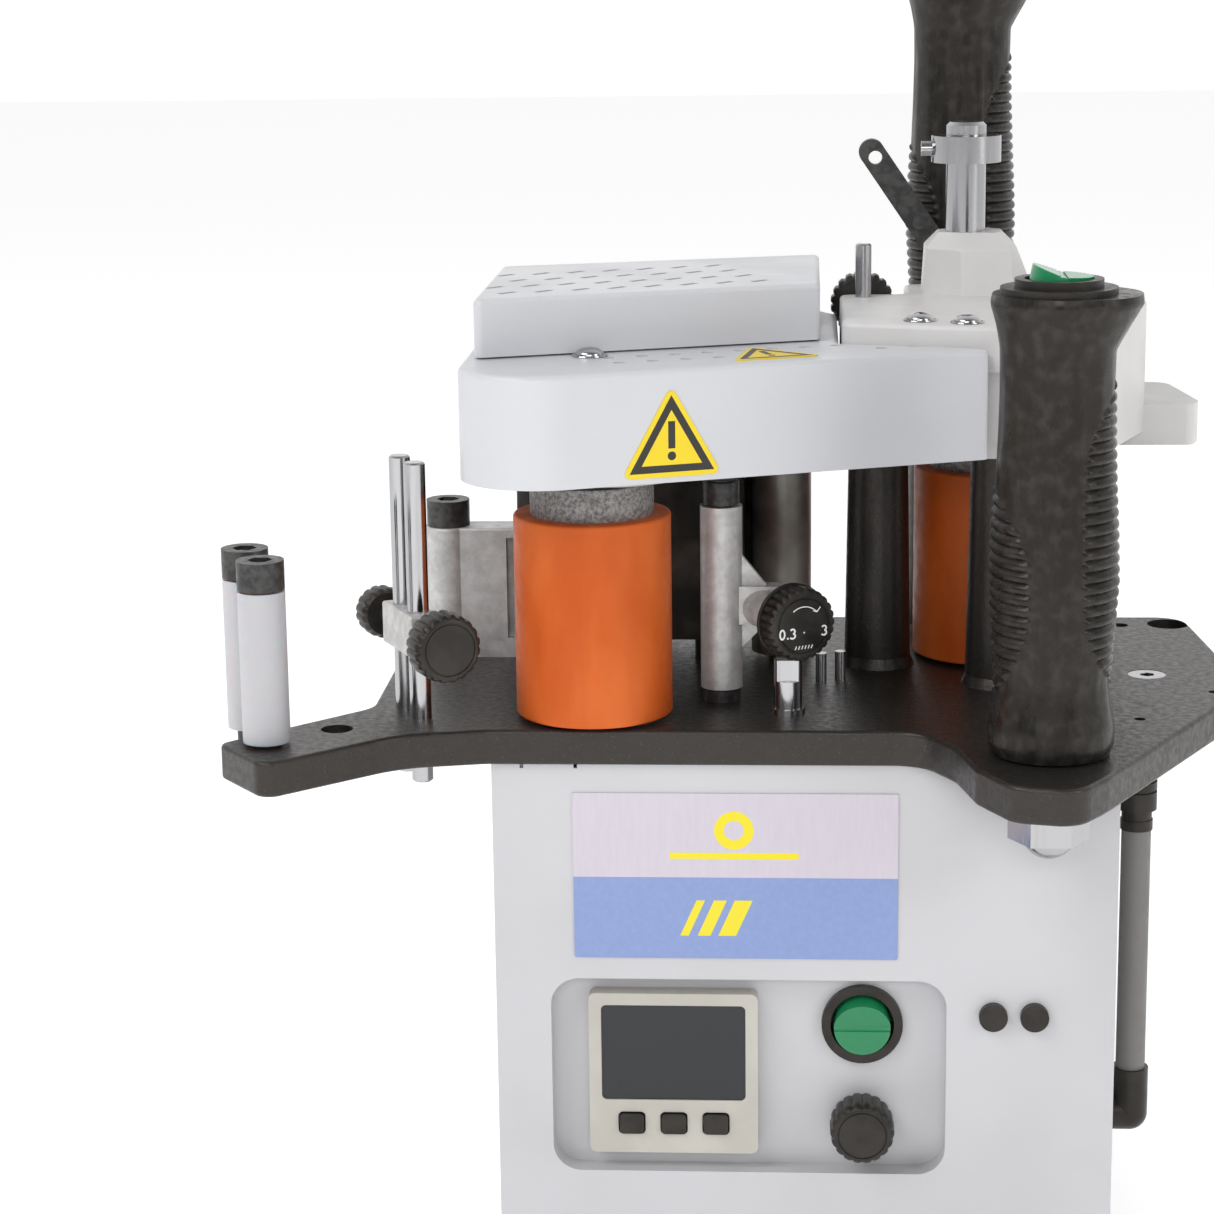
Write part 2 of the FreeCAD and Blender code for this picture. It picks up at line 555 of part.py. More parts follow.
def lower_cover():
    inset = [(-33.1, -47.1), (108.2, 8.9), (107.2, 12.0), (67.2, 22.8), (67.2, 88.6), (59.4, 103.0),
             (-33.1, 77.9)]
    cover = hood(LOWER_EDGE, LOWER_ROUND, COVER_LOW, COVER_TOP, inset, [20.6, 0.5, 0.5, 1, 2, 2, 2.6])
    cover = cover.cut(block(60, 70, 24.5, 86, COVER_LOW - 1, COVER_TOP - 2.5))
    mouth = [(-24, 34), (44, 56), (44, 92), (-24, 72)]
    cover = cover.cut(prism(mouth, [5] * 4, COVER_TOP - 5, COVER_TOP + 1))
    for row in range(2):
        for step in range(11):
            at = FEED + SLOPE * (4 + 9.5 * step) + INWARD * (-15 + 10 * row)
            if at.x < 92 and not (step in (5, 6, 7) and row == 0):
                cover = cover.cut(cyl(at, COVER_TOP - 4, COVER_TOP + 1, 1.7))
    return cover.cut(cyl(FEED, COVER_TOP - 4, COVER_TOP + 1, 2.5))


def upper_cover():
    inset = [(-30.0, -5.0), (61.9, 28.7), (61.9, 102.2), (-30.0, 75.4)]
    cover = hood(HOOD_EDGE, [2, 2, 2, 2], COVER_TOP + GAP, HOOD_TOP, inset, [1, 1, 1, 1])
    for row in range(4):
        for step in range(8):
            at = V(-31.4, -6.8, 0) + SLOPE * (13 + 10.6 * step) + INWARD * (12 + 14 * row)
            slot = block(-3.2, 3.2, -1.1, 1.1, HOOD_TOP - 4, HOOD_TOP + 1)
            slot.rotate(V(), UP, math.degrees(math.atan2(SLOPE.y, SLOPE.x)) + 28)
            slot.translate(V(at.x, at.y, 0))
            cover = cover.cut(slot)
    return cover


def cover_screws():
    """Round headed screws on the lower cover and the head's roof, and the plate's countersunk one."""
    screws = [dome_screw(FEED, COVER_TOP, 4.2, 2.4, 2.4, 8)]
    for at in HEAD_SCREWS:
        screws.append(dome_screw(at, DECK_TOP, 4.0, 2.2, 2.0, 5))
    sunk = join(cone(PLATE_SCREW, -3.1, -0.1, 2.5, 5.5), cyl(PLATE_SCREW, -9, -3.1, 2.5))
    screws.append(sunk.cut(hexagon(PLATE_SCREW, -2, 0.5, 4.0)))
    return Part.makeCompound(screws)


# ---------------------------------------------------------------- glue pot, fence and glue roller
POT = (-27.0, 41.0, 56.0, 98.0)              # left, right, front, back
POT_LOW, POT_TOP = 8.0, 62.0


def glue_pot():
    """A cast pot on four insulating feet, with heater bores through its thick floor and a block
    behind the glue roller that scrapes it."""
    left, right, front, back = POT
    pot = prism(rectangle(left, right, front, back), [6, 4, 4, 6], POT_LOW, POT_TOP)
    pot = pot.makeFillet(1.0, rim(pot, POT_TOP))
    pot = pot.fuse(prism(rectangle(right - 3, right + 17, front + 27, back - 2), [1, 1, 4, 1],
                         POT_LOW, POT_TOP - 3))
    pot = pot.cut(prism(rectangle(left + 5, right - 5, front + 5, back - 5), [5] * 4,
                        POT_LOW + 16, POT_TOP + 1))
    for y in (front + 12, back - 12):
        pot = pot.cut(rod(V(left - 1, y, POT_LOW + 8), V(right - 6, y, POT_LOW + 8), 3.2))
    middle = (front + back) / 2
    pot = pot.cut(rod(V(left - 1, middle, POT_LOW + 8), V(left + 20, middle, POT_LOW + 8), 1.6))
    for x in (left + 10, right - 10):
        for y in (front + 9, back - 9):
            pot = pot.fuse(cyl(V(x, y, 0), 0, POT_LOW, 5))
    return pot.removeSplitter()


def heater_cartridges():
    left, right, front, back = POT
    heaters = [rod(V(left, y, POT_LOW + 8), V(right - 6, y, POT_LOW + 8), 3.2)
               for y in (front + 12, back - 12)]
    middle = (front + back) / 2
    heaters.append(rod(V(left, middle, POT_LOW + 8), V(left + 20, middle, POT_LOW + 8), 1.6))
    return Part.makeCompound(heaters)


FENCE_BOSS = V(-49, 72, 0)
FENCE_HIGH = 40.0


def fence_block():
    """The cast fence left of the pot: a round boss for its screw and a pocketed wall."""
    wall = block(FENCE_BOSS.x, POT[0] - GAP, 66, 78, 0, FENCE_HIGH)
    fence = join(wall, cyl(FENCE_BOSS, 0, FENCE_HIGH, 7.2))
    fence = fence.makeFillet(0.8, rim(fence, FENCE_HIGH))
    fence = fence.cut(block(-31, 0, 60, 69, 6, FENCE_HIGH - 3))
    return fence.cut(cyl(FENCE_BOSS, -1, FENCE_HIGH + 1, 4.0))


def glue_roller(turn):
    """A steel roller with its small gear cut on the same shaft."""
    shaft = cyl(GLUE, PLATE_LOW + 2, GEAR_TOP, SHAFT_R - 1)
    return join(shaft, cyl(GLUE, 1.5, GLUE_HIGH, GLUE_R), gear(GLUE, GLUE_TEETH, turn, SHAFT_R - 1))


# ---------------------------------------------------------------- driven rollers
def roller_sleeve(at):
    sleeve = ring(at, 1.0, ROLLER_HIGH, ROLLER_R, CORE_R)
    rims = [e for e in sleeve.Edges if abs(e.Length - 2 * math.pi * ROLLER_R) < 0.1]
    return sleeve.makeFillet(0.8, rims)


def roller_core(at):
    """Cast hub inside the sleeve, standing proud of it, on a steel shaft that carries the gear."""
    core = join(cyl(at, 1.0, ROLLER_HIGH, CORE_R), cyl(at, ROLLER_HIGH, WEB_LOW - 1, CORE_R + 1.3))
    core = core.cut(ring(at, 0, ROLLER_HIGH - 12, CORE_R - 3, SHAFT_R + 3))
    core = join(core, cyl(at, PLATE_LOW + 1, GEAR_TOP, SHAFT_R))
    return join(core, hexagon(at, GEAR_TOP, GEAR_TOP + 4, 9.0))


def drive_shaft(turn):
    """The gearbox's output shaft, which runs up the hollow column to its pinion."""
    return join(cyl(DRIVE, GEARBOX_LOW + 10, GEAR_TOP, SHAFT_R), hexagon(DRIVE, GEAR_TOP, GEAR_TOP + 4, 9.0),
                gear(DRIVE, PINION_TEETH, turn, SHAFT_R))


# ---------------------------------------------------------------- tape guides on the arm
NYLON_R, NYLON_HIGH = 6.5, 43.0


def nylon_roller(at):
    return ring(at, 1.0, NYLON_HIGH, NYLON_R, 4.0 + RUN)


def guide_screws():
    """M8 cap screws: two are the axles of the nylon rollers, one holds the fence."""
    screws = [cap_screw(at, NYLON_HIGH + GAP, NYLON_HIGH + 9.5, 4.0, 6.5, 8.0, 6.0) for at in NYLONS]
    screws.append(cap_screw(FENCE_BOSS, FENCE_HIGH, FENCE_HIGH, 4.0, 6.5, 8.0, 6.0))
    return Part.makeCompound(screws)


def guide_rods():
    rods = []
    for at in RODS:
        body = cyl(at, -18.5, 73, 3.0)
        rods.append(body.makeChamfer(0.5, [body.Edges[0], body.Edges[2]]))
    return rods


GUIDE_Z = 24.5
ACROSS = V(-KNOB_AXIS.y, KNOB_AXIS.x, 0)


def height_guide():
    """A clamp block on the two rods, with a thin foot that holds the tape down."""
    middle = (RODS[0] + RODS[1]) * 0.5
    guide = block(-12, 12, -4.6, 4.6, GUIDE_Z - 6, GUIDE_Z + 6)
    guide = guide.makeFillet(0.8, guide.Edges)
    line = RODS[0] - RODS[1]
    guide.rotate(V(), UP, math.degrees(math.atan2(line.y, line.x)))
    guide.translate(V(middle.x, middle.y, 0))
    for at in RODS:
        guide = guide.cut(cyl(at, GUIDE_Z - 10, GUIDE_Z + 10, 3.0 + RUN))
    for at, way in ((RODS[0], KNOB_AXIS), (RODS[1], KNOB_AXIS * -1)):
        start = V(at.x, at.y, GUIDE_Z) + way * 3.4
        guide = guide.cut(rod(start, start + way * 8, 2.5 + RUN))
    return guide


def clamp_knob(at, way, radius, deep, ribs):
    """A ribbed knob on a screw whose tip stops just short of the rod it clamps."""
    body = knurled(radius, deep, ribs, radius * 0.11)
    body = body.fuse(cyl(V(), -3.0, 0, radius * 0.55)).fuse(cyl(V(), -9.5, -3.0, 2.5)).removeSplitter()
    return along_axis(body, V(at.x, at.y, GUIDE_Z) + way * 13.4, way)


# ---------------------------------------------------------------- thickness arm and its dial
DIAL_BOSS = V(52, 6, 27)


def swivel_post():
    """The fixed pivot with its black foot and cap."""
    return join(cyl(SWIVEL, 0, 64, 4.0), cyl(SWIVEL, 0, 3.2, 5.4), cyl(SWIVEL, 57.0, 63.5, 5.2))


def thickness_arm():
    tube = cyl(SWIVEL, 3.2 + GAP, 57.0 - GAP, 6.0)
    bar = block(0, 19.5, -3.2, 3.2, 22.4, 33.4)
    ribs = Part.Face(Part.makePolygon([V(5, 1.2, 14.5), V(5, 1.2, 43.2), V(12.8, 1.2, 33.4),
                                       V(12.8, 1.2, 22.4), V(5, 1.2, 14.5)])).extrude(V(0, -2.4, 0))
    for piece in (bar, ribs):
        piece.translate(V(SWIVEL.x, SWIVEL.y, 0))
    boss = rod(DIAL_BOSS - KNOB_AXIS * 12, DIAL_BOSS + KNOB_AXIS * 5.5, 5.5)
    arm = join(tube, bar, ribs, boss)
    arm = arm.cut(cyl(SWIVEL, 0, 64, 4.0 + RUN))
    return arm.cut(rod(DIAL_BOSS - KNOB_AXIS * 3, DIAL_BOSS + KNOB_AXIS * 8, 3.0 + RUN))


def dial_knob():
    body = knurled(10.1, 6.5, 26, 0.5)
    body = body.fuse(cyl(V(), -1.2, 0, 10.8)).fuse(cyl(V(), -10.0, -1.2, 3.0)).removeSplitter()
    return along_axis(body, DIAL_BOSS + KNOB_AXIS * 8.0, KNOB_AXIS)


def stop_pins():
    """The arm's stop, with a flat on its top, and two thin posts behind it."""
    pin = V(54.4, 1.8, 0)
    body = join(cyl(pin, 0, 15.5, 4.0), cyl(pin, 0, 1.5, 4.8))
    body = body.cut(block(pin.x - 5, pin.x + 5, pin.y - 5, pin.y - 2.6, 9.5, 16))
    small = [cyl(V(x, y, 0), 0, 8.5, 1.6) for x, y in ((63.9, 37.5), (69.5, 39.9))]
    return [body] + small


# ---------------------------------------------------------------- handles
GRIP_HIGH = 122.9
GRIP_SECTIONS = ((0.6, 15.5), (3, 16.4), (14, 15.6), (28, 14.6), (50, 16.2), (72, 15.2), (92, 14.6),
                 (106, 14.8), (112, 15.6), (120.5, 17.5), (GRIP_HIGH, 17.0))


def grip_body(at, low):
    """A moulded grip: a waisted round body, flared at both ends, with a thumb ledge."""
    wires = [Part.Wire(Part.makeCircle(r, V(at.x, at.y, low + z))) for z, r in GRIP_SECTIONS]
    body = Part.makeLoft(wires, True)
    ledge = cone(at + V(4.8, 0, 0), low + 109, low + 121, 11, 17).fuse(
        cyl(at + V(4.8, 0, 0), low + 121, low + GRIP_HIGH, 17))
    body = body.fuse(ledge).removeSplitter()
    return body.cut(cyl(at, low - 1, low + GRIP_HIGH + 1, 5.0))


def front_grip():
    return grip_body(HANDLE, 0).cut(cyl(HANDLE, GRIP_HIGH - 18, GRIP_HIGH + 1, 10.5))


SWITCH_TOP = GRIP_HIGH + 1.7


def grip_collars():
    """The ring that holds the switch in the front grip, and the plain cap of the rear one."""
    top = WEB_TOP + GRIP_HIGH
    cap = join(cyl(REAR_HANDLE, top, top + 3, 15.2), cyl(REAR_HANDLE, top - 15, top, 5.0))
    return Part.makeCompound([ring(HANDLE, GRIP_HIGH, SWITCH_TOP, 15.2, 10.5), cap])


def handle_studs():
    """The front stud with its washer, nut and domed end, and the rear handle's stud and nut."""
    front = join(cyl(HANDLE, PLATE_LOW - 14, GRIP_HIGH - 20, 5.0),
                 cyl(HANDLE, PLATE_LOW - 2, PLATE_LOW, 11.5),
                 hexagon(HANDLE, PLATE_LOW - 14, PLATE_LOW - 2, 19.0))
    dome = Part.makeSphere(7.5, V(HANDLE.x, HANDLE.y, PLATE_LOW - 12))
    dome = dome.common(cyl(HANDLE, PLATE_LOW - 20, PLATE_LOW - 14, 8))
    front = join(front, dome)
    low = WEB_LOW - 2
    rear = join(cyl(REAR_HANDLE, low - 8, WEB_TOP + GRIP_HIGH - 20, 5.0),
                hexagon(REAR_HANDLE, low - 8, low, 17.0))
    return Part.makeCompound([front, rear])


def rear_grip():
    return grip_body(REAR_HANDLE, WEB_TOP)


# ---------------------------------------------------------------- mast, stay bar and stop rod
def mast():
    """A bright steel column with a ring clamped near its top by a cross screw."""
    body = cyl(MAST, DECK_TOP - 3, 158, 6.0)
    body = body.makeChamfer(1.0, [e for e in body.Edges if e.BoundBox.ZMin > 157])
    clamp = join(ring(MAST, 146, 154, 10.5, 6.0), rod(MAST + V(-9.9, 0, 150), MAST + V(-13.5, 0, 150), 2.5))
    return Part.makeCompound([body, clamp])


def stay_bar():
    """A flat black bar bolted to the boss, leaning up to the left in front of the rear handle."""
    slab = panel_prism(-8, 52, -3.9, 3.9, 3.8, -2, 2)
    slab = slab.cut(rod(V(46, -3, 0), V(46, 3, 0), 2.1))
    screw = rod(V(22, -2, 0), V(22, -3.6, 0), 2.2)
    bar = join(slab, screw)
    bar.rotate(V(), V(0, 1, 0), -124.3)
    bar.translate(V(106.6, 120.2, 108))
    return bar


def stop_rod():
    body = cyl(STOP_ROD, 86, 123, 2.4)
    return body.makeChamfer(0.5, [e for e in body.Edges if e.BoundBox.ZMin > 122])


def rod_clamp_knob():
    body = knurled(9.0, 9.0, 20, 0.8)
    body = body.fuse(cyl(V(), -1.5, 0, 6.0)).fuse(cyl(V(), -5.4, -1.5, 2.5)).removeSplitter()
    return along_axis(body, ROD_CLAMP + V(0, 1.9, 0), V(0, 1, 0))


# ---------------------------------------------------------------- switch cable
CABLE = V(153.5, 10, 0)
ELBOW_Z = -122.0


def cable_glands():
    """The gland under the plate and the elbow on the side of the box."""
    top = join(cyl(CABLE, PLATE_LOW - 20, PLATE_LOW, 5.6), cyl(CABLE, -36, -33, 4.6),
               cyl(CABLE, -33, -30, 4.3),
               cyl(CABLE, PLATE_LOW, 0, 4.3))
    for z in (-15, -18, -21, -24):
        top = top.cut(ring(CABLE, z - 0.7, z, 7, 5.0))
    top = top.cut(cyl(CABLE, -40, -28, 3.0))
    corner = V(CABLE.x, CABLE.y, ELBOW_Z)
    elbow = join(cyl(CABLE, ELBOW_Z, -108, 5.2), Part.makeSphere(5.2, corner),
                 rod(corner, V(BOX_RIGHT, CABLE.y, ELBOW_Z), 5.2),
                 rod(V(BOX_RIGHT, CABLE.y, ELBOW_Z), V(BOX_RIGHT - 6, CABLE.y, ELBOW_Z), 5.0))
    nut = rod(V(BOX_RIGHT - SHEET - 3, CABLE.y, ELBOW_Z), V(BOX_RIGHT - SHEET, CABLE.y, ELBOW_Z), 7.5)
    return Part.makeCompound([top.removeSplitter(), join(elbow, nut)])


def switch_cable():
    return cyl(CABLE, -108, -36, 4.2)


def hazard_sign(side):
    """A thin triangular sign, drawn in the X-Z plane with its foot on the X axis."""
    high = side * math.sqrt(3) / 2
    shape = prism([(-side / 2, 0), (side / 2, 0), (0, high)], [1.5] * 3, 0, 0.3)
    return shape


def hazard_signs():
    """One sign on the lower cover's front face and one lying on its top."""
    turn = math.degrees(math.atan2(57.3, 144.5))
    front = hazard_sign(28.5)
    front.rotate(V(), V(1, 0, 0), 90)
    front.rotate(V(), UP, turn)
    front.translate(V(23.5, -26.22, COVER_LOW + 1.6))
    flat = hazard_sign(26)
    flat.rotate(V(), UP, turn)
    flat.translate(V(52.0, -6.5, COVER_TOP))
    return Part.makeCompound([front, flat])


def main():
    press_turn = 0.0
    drive_turn = mesh_turn(PRESS, press_turn, PRESS_TEETH, DRIVE, PINION_TEETH)
    idler_a_turn = mesh_turn(DRIVE, drive_turn, PINION_TEETH, IDLER_A, IDLER_TEETH)
    idler_b_turn = mesh_turn(IDLER_A, idler_a_turn, IDLER_TEETH, IDLER_B, IDLER_TEETH)
    feed_turn = mesh_turn(IDLER_B, idler_b_turn, IDLER_TEETH, FEED, FEED_TEETH)
    glue_turn = mesh_turn(IDLER_A, idler_a_turn, IDLER_TEETH, GLUE, GLUE_TEETH)
    panel_frame = along_axis(rocker_frame(11.5, RING_HIGH, 16, 9.9, ROCKER_WELL), SWITCH_AT, FRONTWARD)
    handle_frame = rocker_frame(11.5, RING_HIGH, 16, 10.5, ROCKER_WELL)
    handle_frame.translate(V(HANDLE.x, HANDLE.y, SWITCH_TOP))
    panel_rocker = round_rocker(ROCKER_R, ROCKER_PROUD)
    panel_rocker.rotate(V(), V(1, 0, 0), ROCKER_TILT)
    panel_rocker = Part.makeCompound([panel_rocker])
    panel_rocker = along_axis(panel_rocker, SWITCH_AT, FRONTWARD)
    handle_rocker = round_rocker(ROCKER_R, ROCKER_PROUD)
    handle_rocker.rotate(V(), UP, 90)
    handle_rocker.rotate(V(), V(0, 1, 0), ROCKER_TILT)
    handle_rocker.translate(V(HANDLE.x, HANDLE.y, SWITCH_TOP))
    nodes = {
        "base_plate": base_plate(), "control_box": control_box(), "front_panel": front_panel(),
        "control_recess": control_recess(), "rubber_feet": rubber_feet(),
        "temperature_controller": temperature_controller(), "controller_window": controller_window(),
        "switch_frames": Part.makeCompound([panel_frame, handle_frame]), "power_rocker": panel_rocker,
        "panel_fittings": panel_fittings(), "speed_knob": speed_knob(), "mains_inlet": mains_inlet(),
        "label_plate": label_plate(), "drive_board": drive_board(), "gear_motor": gear_motor(),
        "upper_casting": upper_casting(), "support_columns": support_columns(),
        "shaft_bearings": shaft_bearings(), "idler_studs": idler_studs(), "lower_cover": lower_cover(),
        "upper_cover": upper_cover(), "cover_screws": cover_screws(),
        "glue_pot": glue_pot(), "heater_cartridges": heater_cartridges(),
        "fence_block": fence_block(), "glue_roller": glue_roller(glue_turn),
        "feed_sleeve": roller_sleeve(FEED), "feed_core": roller_core(FEED),
        "feed_gear": gear(FEED, FEED_TEETH, feed_turn, SHAFT_R),
        "press_sleeve": roller_sleeve(PRESS), "press_core": roller_core(PRESS),
        "press_gear": gear(PRESS, PRESS_TEETH, press_turn, SHAFT_R), "drive_shaft": drive_shaft(drive_turn),
        "idler_gear_a": gear(IDLER_A, IDLER_TEETH, idler_a_turn, 4.0 + RUN),
        "idler_gear_b": gear(IDLER_B, IDLER_TEETH, idler_b_turn, 4.0 + RUN),
        "nylon_roller_a": nylon_roller(NYLONS[0]), "nylon_roller_b": nylon_roller(NYLONS[1]),
        "guide_screws": guide_screws(), "guide_pins": Part.makeCompound(guide_rods() + stop_pins()),
        "height_guide": height_guide(),
        "clamp_knob_front": clamp_knob(RODS[0], KNOB_AXIS, 9.2, 10.5, 20),
        "clamp_knob_back": clamp_knob(RODS[1], KNOB_AXIS * -1, 7.0, 8.0, 16),
        "swivel_post": swivel_post(), "thickness_arm": thickness_arm(), "dial_knob": dial_knob(),
        "front_grip": front_grip(), "grip_collars": grip_collars(),
        "handle_rocker": handle_rocker, "handle_studs": handle_studs(), "rear_grip": rear_grip(),
        "mast": mast(), "stay_bar": stay_bar(), "stop_rod": stop_rod(),
        "rod_clamp_knob": rod_clamp_knob(), "cable_glands": cable_glands(),
        "switch_cable": switch_cable(), "hazard_signs": hazard_signs(),
    }
    for index in range(KEYS):
        nodes["controller_key_%d" % (index + 1)] = controller_key(index)
    os.makedirs("parts", exist_ok=True)
    whole = Part.makeCompound(list(nodes.values())).optimalBoundingBox(False)
    to_origin = V(-whole.Center.x, -whole.Center.y, -whole.ZMin)
    print("datum to origin", [round(value, 4) for value in to_origin])
    for name, shape in nodes.items():
        moved = shape.copy()
        moved.translate(to_origin)
        moved.exportStep("parts/" + name + ".step")
        if not moved.isValid() or moved.Volume <= 0:
            print("check", name, moved.isValid(), moved.Volume)
    print(len(nodes), "nodes")


main()
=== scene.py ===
"""Portable edge banding machine, dressed for the bench: finishes for the cast and folded parts,
and finer meshes for the grips, knobs, dial print, signs and screws.  Lengths in metres."""
import math

import bmesh
import bpy
import numpy as np
from mathutils import Matrix, Vector


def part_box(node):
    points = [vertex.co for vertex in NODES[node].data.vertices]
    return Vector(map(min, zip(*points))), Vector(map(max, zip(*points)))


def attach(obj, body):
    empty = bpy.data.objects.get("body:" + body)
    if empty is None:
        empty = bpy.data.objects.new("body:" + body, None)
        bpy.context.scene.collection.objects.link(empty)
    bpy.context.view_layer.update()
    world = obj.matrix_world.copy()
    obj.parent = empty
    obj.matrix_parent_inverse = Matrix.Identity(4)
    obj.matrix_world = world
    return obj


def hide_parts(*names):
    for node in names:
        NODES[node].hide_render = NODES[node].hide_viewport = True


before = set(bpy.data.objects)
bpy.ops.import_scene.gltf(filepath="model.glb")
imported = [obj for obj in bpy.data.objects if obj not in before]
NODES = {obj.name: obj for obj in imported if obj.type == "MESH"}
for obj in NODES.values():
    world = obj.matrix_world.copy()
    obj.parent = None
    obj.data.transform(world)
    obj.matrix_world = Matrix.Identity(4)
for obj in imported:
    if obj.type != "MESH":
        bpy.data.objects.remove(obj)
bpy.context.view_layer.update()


# ---------------------------------------------------------------- camera
# The view of a person who stands in front of the feed roller, a little above the covers.
# It is placed from the datum: the feed roller's axis on the top of the base plate.
hub_low, hub_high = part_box("feed_core")
plate_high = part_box("base_plate")[1]
DATUM = Vector(((hub_low.x + hub_high.x) / 2, (hub_low.y + hub_high.y) / 2, plate_high.z))
EYE = DATUM + Vector((0.05958, -0.81798, 0.217))
LENS_MM, SENSOR_MM, FAR = 88.96, 36.0, 30.0

yaw, pitch, roll = (math.radians(a) for a in (3.9, 12.8, 0.8))
look = Vector((-math.sin(yaw) * math.cos(pitch), math.cos(yaw) * math.cos(pitch), -math.sin(pitch)))
level = Vector((math.cos(yaw), math.sin(yaw), 0))
down = look.cross(level)
across = level * math.cos(roll) + down * math.sin(roll)
below = down * math.cos(roll) - level * math.sin(roll)
camera = bpy.data.objects.new("camera", bpy.data.cameras.new("camera"))
camera.data.sensor_width = SENSOR_MM
camera.data.lens = LENS_MM
camera.data.clip_end = FAR
turn = Matrix((across, -below, -look)).transposed()
camera.matrix_world = Matrix.Translation(EYE) @ turn.to_4x4()
bpy.context.scene.collection.objects.link(camera)
bpy.context.scene.camera = camera
bpy.context.scene.view_settings.view_transform = "Standard"


# ---------------------------------------------------------------- light and floor
# A white studio: pure white behind the machine and dimmer behind the viewer, a wide soft light
# high at the left, a weaker one at the right and a strip that draws highlights on the grips.
NEAR_SIDE, FAR_SIDE = -0.35, 0.55      # where the sky starts to brighten and where it is full
NEAR_SKY, FAR_SKY = 0.22, 1.05         # its strength on either side

world = bpy.data.worlds.new("studio")
world.use_nodes = True
sky = world.node_tree
split = sky.nodes.new("ShaderNodeSeparateXYZ")
fade = sky.nodes.new("ShaderNodeMapRange")
for index, value in enumerate((NEAR_SIDE, FAR_SIDE, NEAR_SKY, FAR_SKY)):
    fade.inputs[index + 1].default_value = value
sky.links.new(sky.nodes.new("ShaderNodeTexCoord").outputs["Generated"], split.inputs[0])
sky.links.new(split.outputs["Y"], fade.inputs["Value"])
sky.links.new(fade.outputs["Result"], sky.nodes["Background"].inputs["Strength"])
sky.nodes["Background"].inputs["Color"].default_value = (1, 1, 1, 1)
bpy.context.scene.world = world


def soft_light(name, place, target, wide, high, power):
    """A rectangular lamp of the given sides in metres and power in watts, facing target."""
    lamp = bpy.data.lights.new(name, "AREA")
    lamp.shape = "RECTANGLE"
    lamp.size, lamp.size_y, lamp.energy = wide, high, power
    holder = bpy.data.objects.new(name, lamp)
    place, target = Vector(place), Vector(target)
    facing = (target - place).to_track_quat("-Z", "Y").to_matrix().to_4x4()
    holder.matrix_world = Matrix.Translation(place) @ facing
    bpy.context.scene.collection.objects.link(holder)


AIM = (0, 0, 0.2)
soft_light("key", (-1.1, -0.9, 1.5), AIM, 1.2, 1.0, 17)
soft_light("fill", (1.5, -1.0, 0.9), AIM, 0.7, 1.3, 9)
soft_light("front_strip", (-0.1, -1.8, 0.9), AIM, 1.4, 0.4, 9)


class Val:
    """A shader socket that takes part in arithmetic: each operation adds one Math node."""

    def __init__(self, finish, socket):
        self.finish, self.socket = finish, socket

    def math(self, operation, *others):
        inputs = dict(enumerate((self,) + others))
        return self.finish.node("ShaderNodeMath", {"operation": operation}, inputs)

    def __add__(self, other):
        return self.math("ADD", other)

    def __sub__(self, other):
        return self.math("SUBTRACT", other)

    def __mul__(self, other):
        return self.math("MULTIPLY", other)

    def __rsub__(self, other):
        return (self * -1.0) + other

    def over(self, edge):
        return self.math("GREATER_THAN", edge)

    def under(self, edge):
        return self.math("LESS_THAN", edge)

    def size(self):
        return self.math("ABSOLUTE")

    def least(self, other):
        return self.math("MINIMUM", other)

    def ramp(self, low, high, to_low=0.0, to_high=1.0):
        """Goes smoothly from to_low at low to to_high at high."""
        return self.finish.node("ShaderNodeMapRange", {"interpolation_type": "SMOOTHSTEP"},
                                {0: self, 1: low, 2: high, 3: to_low, 4: to_high})


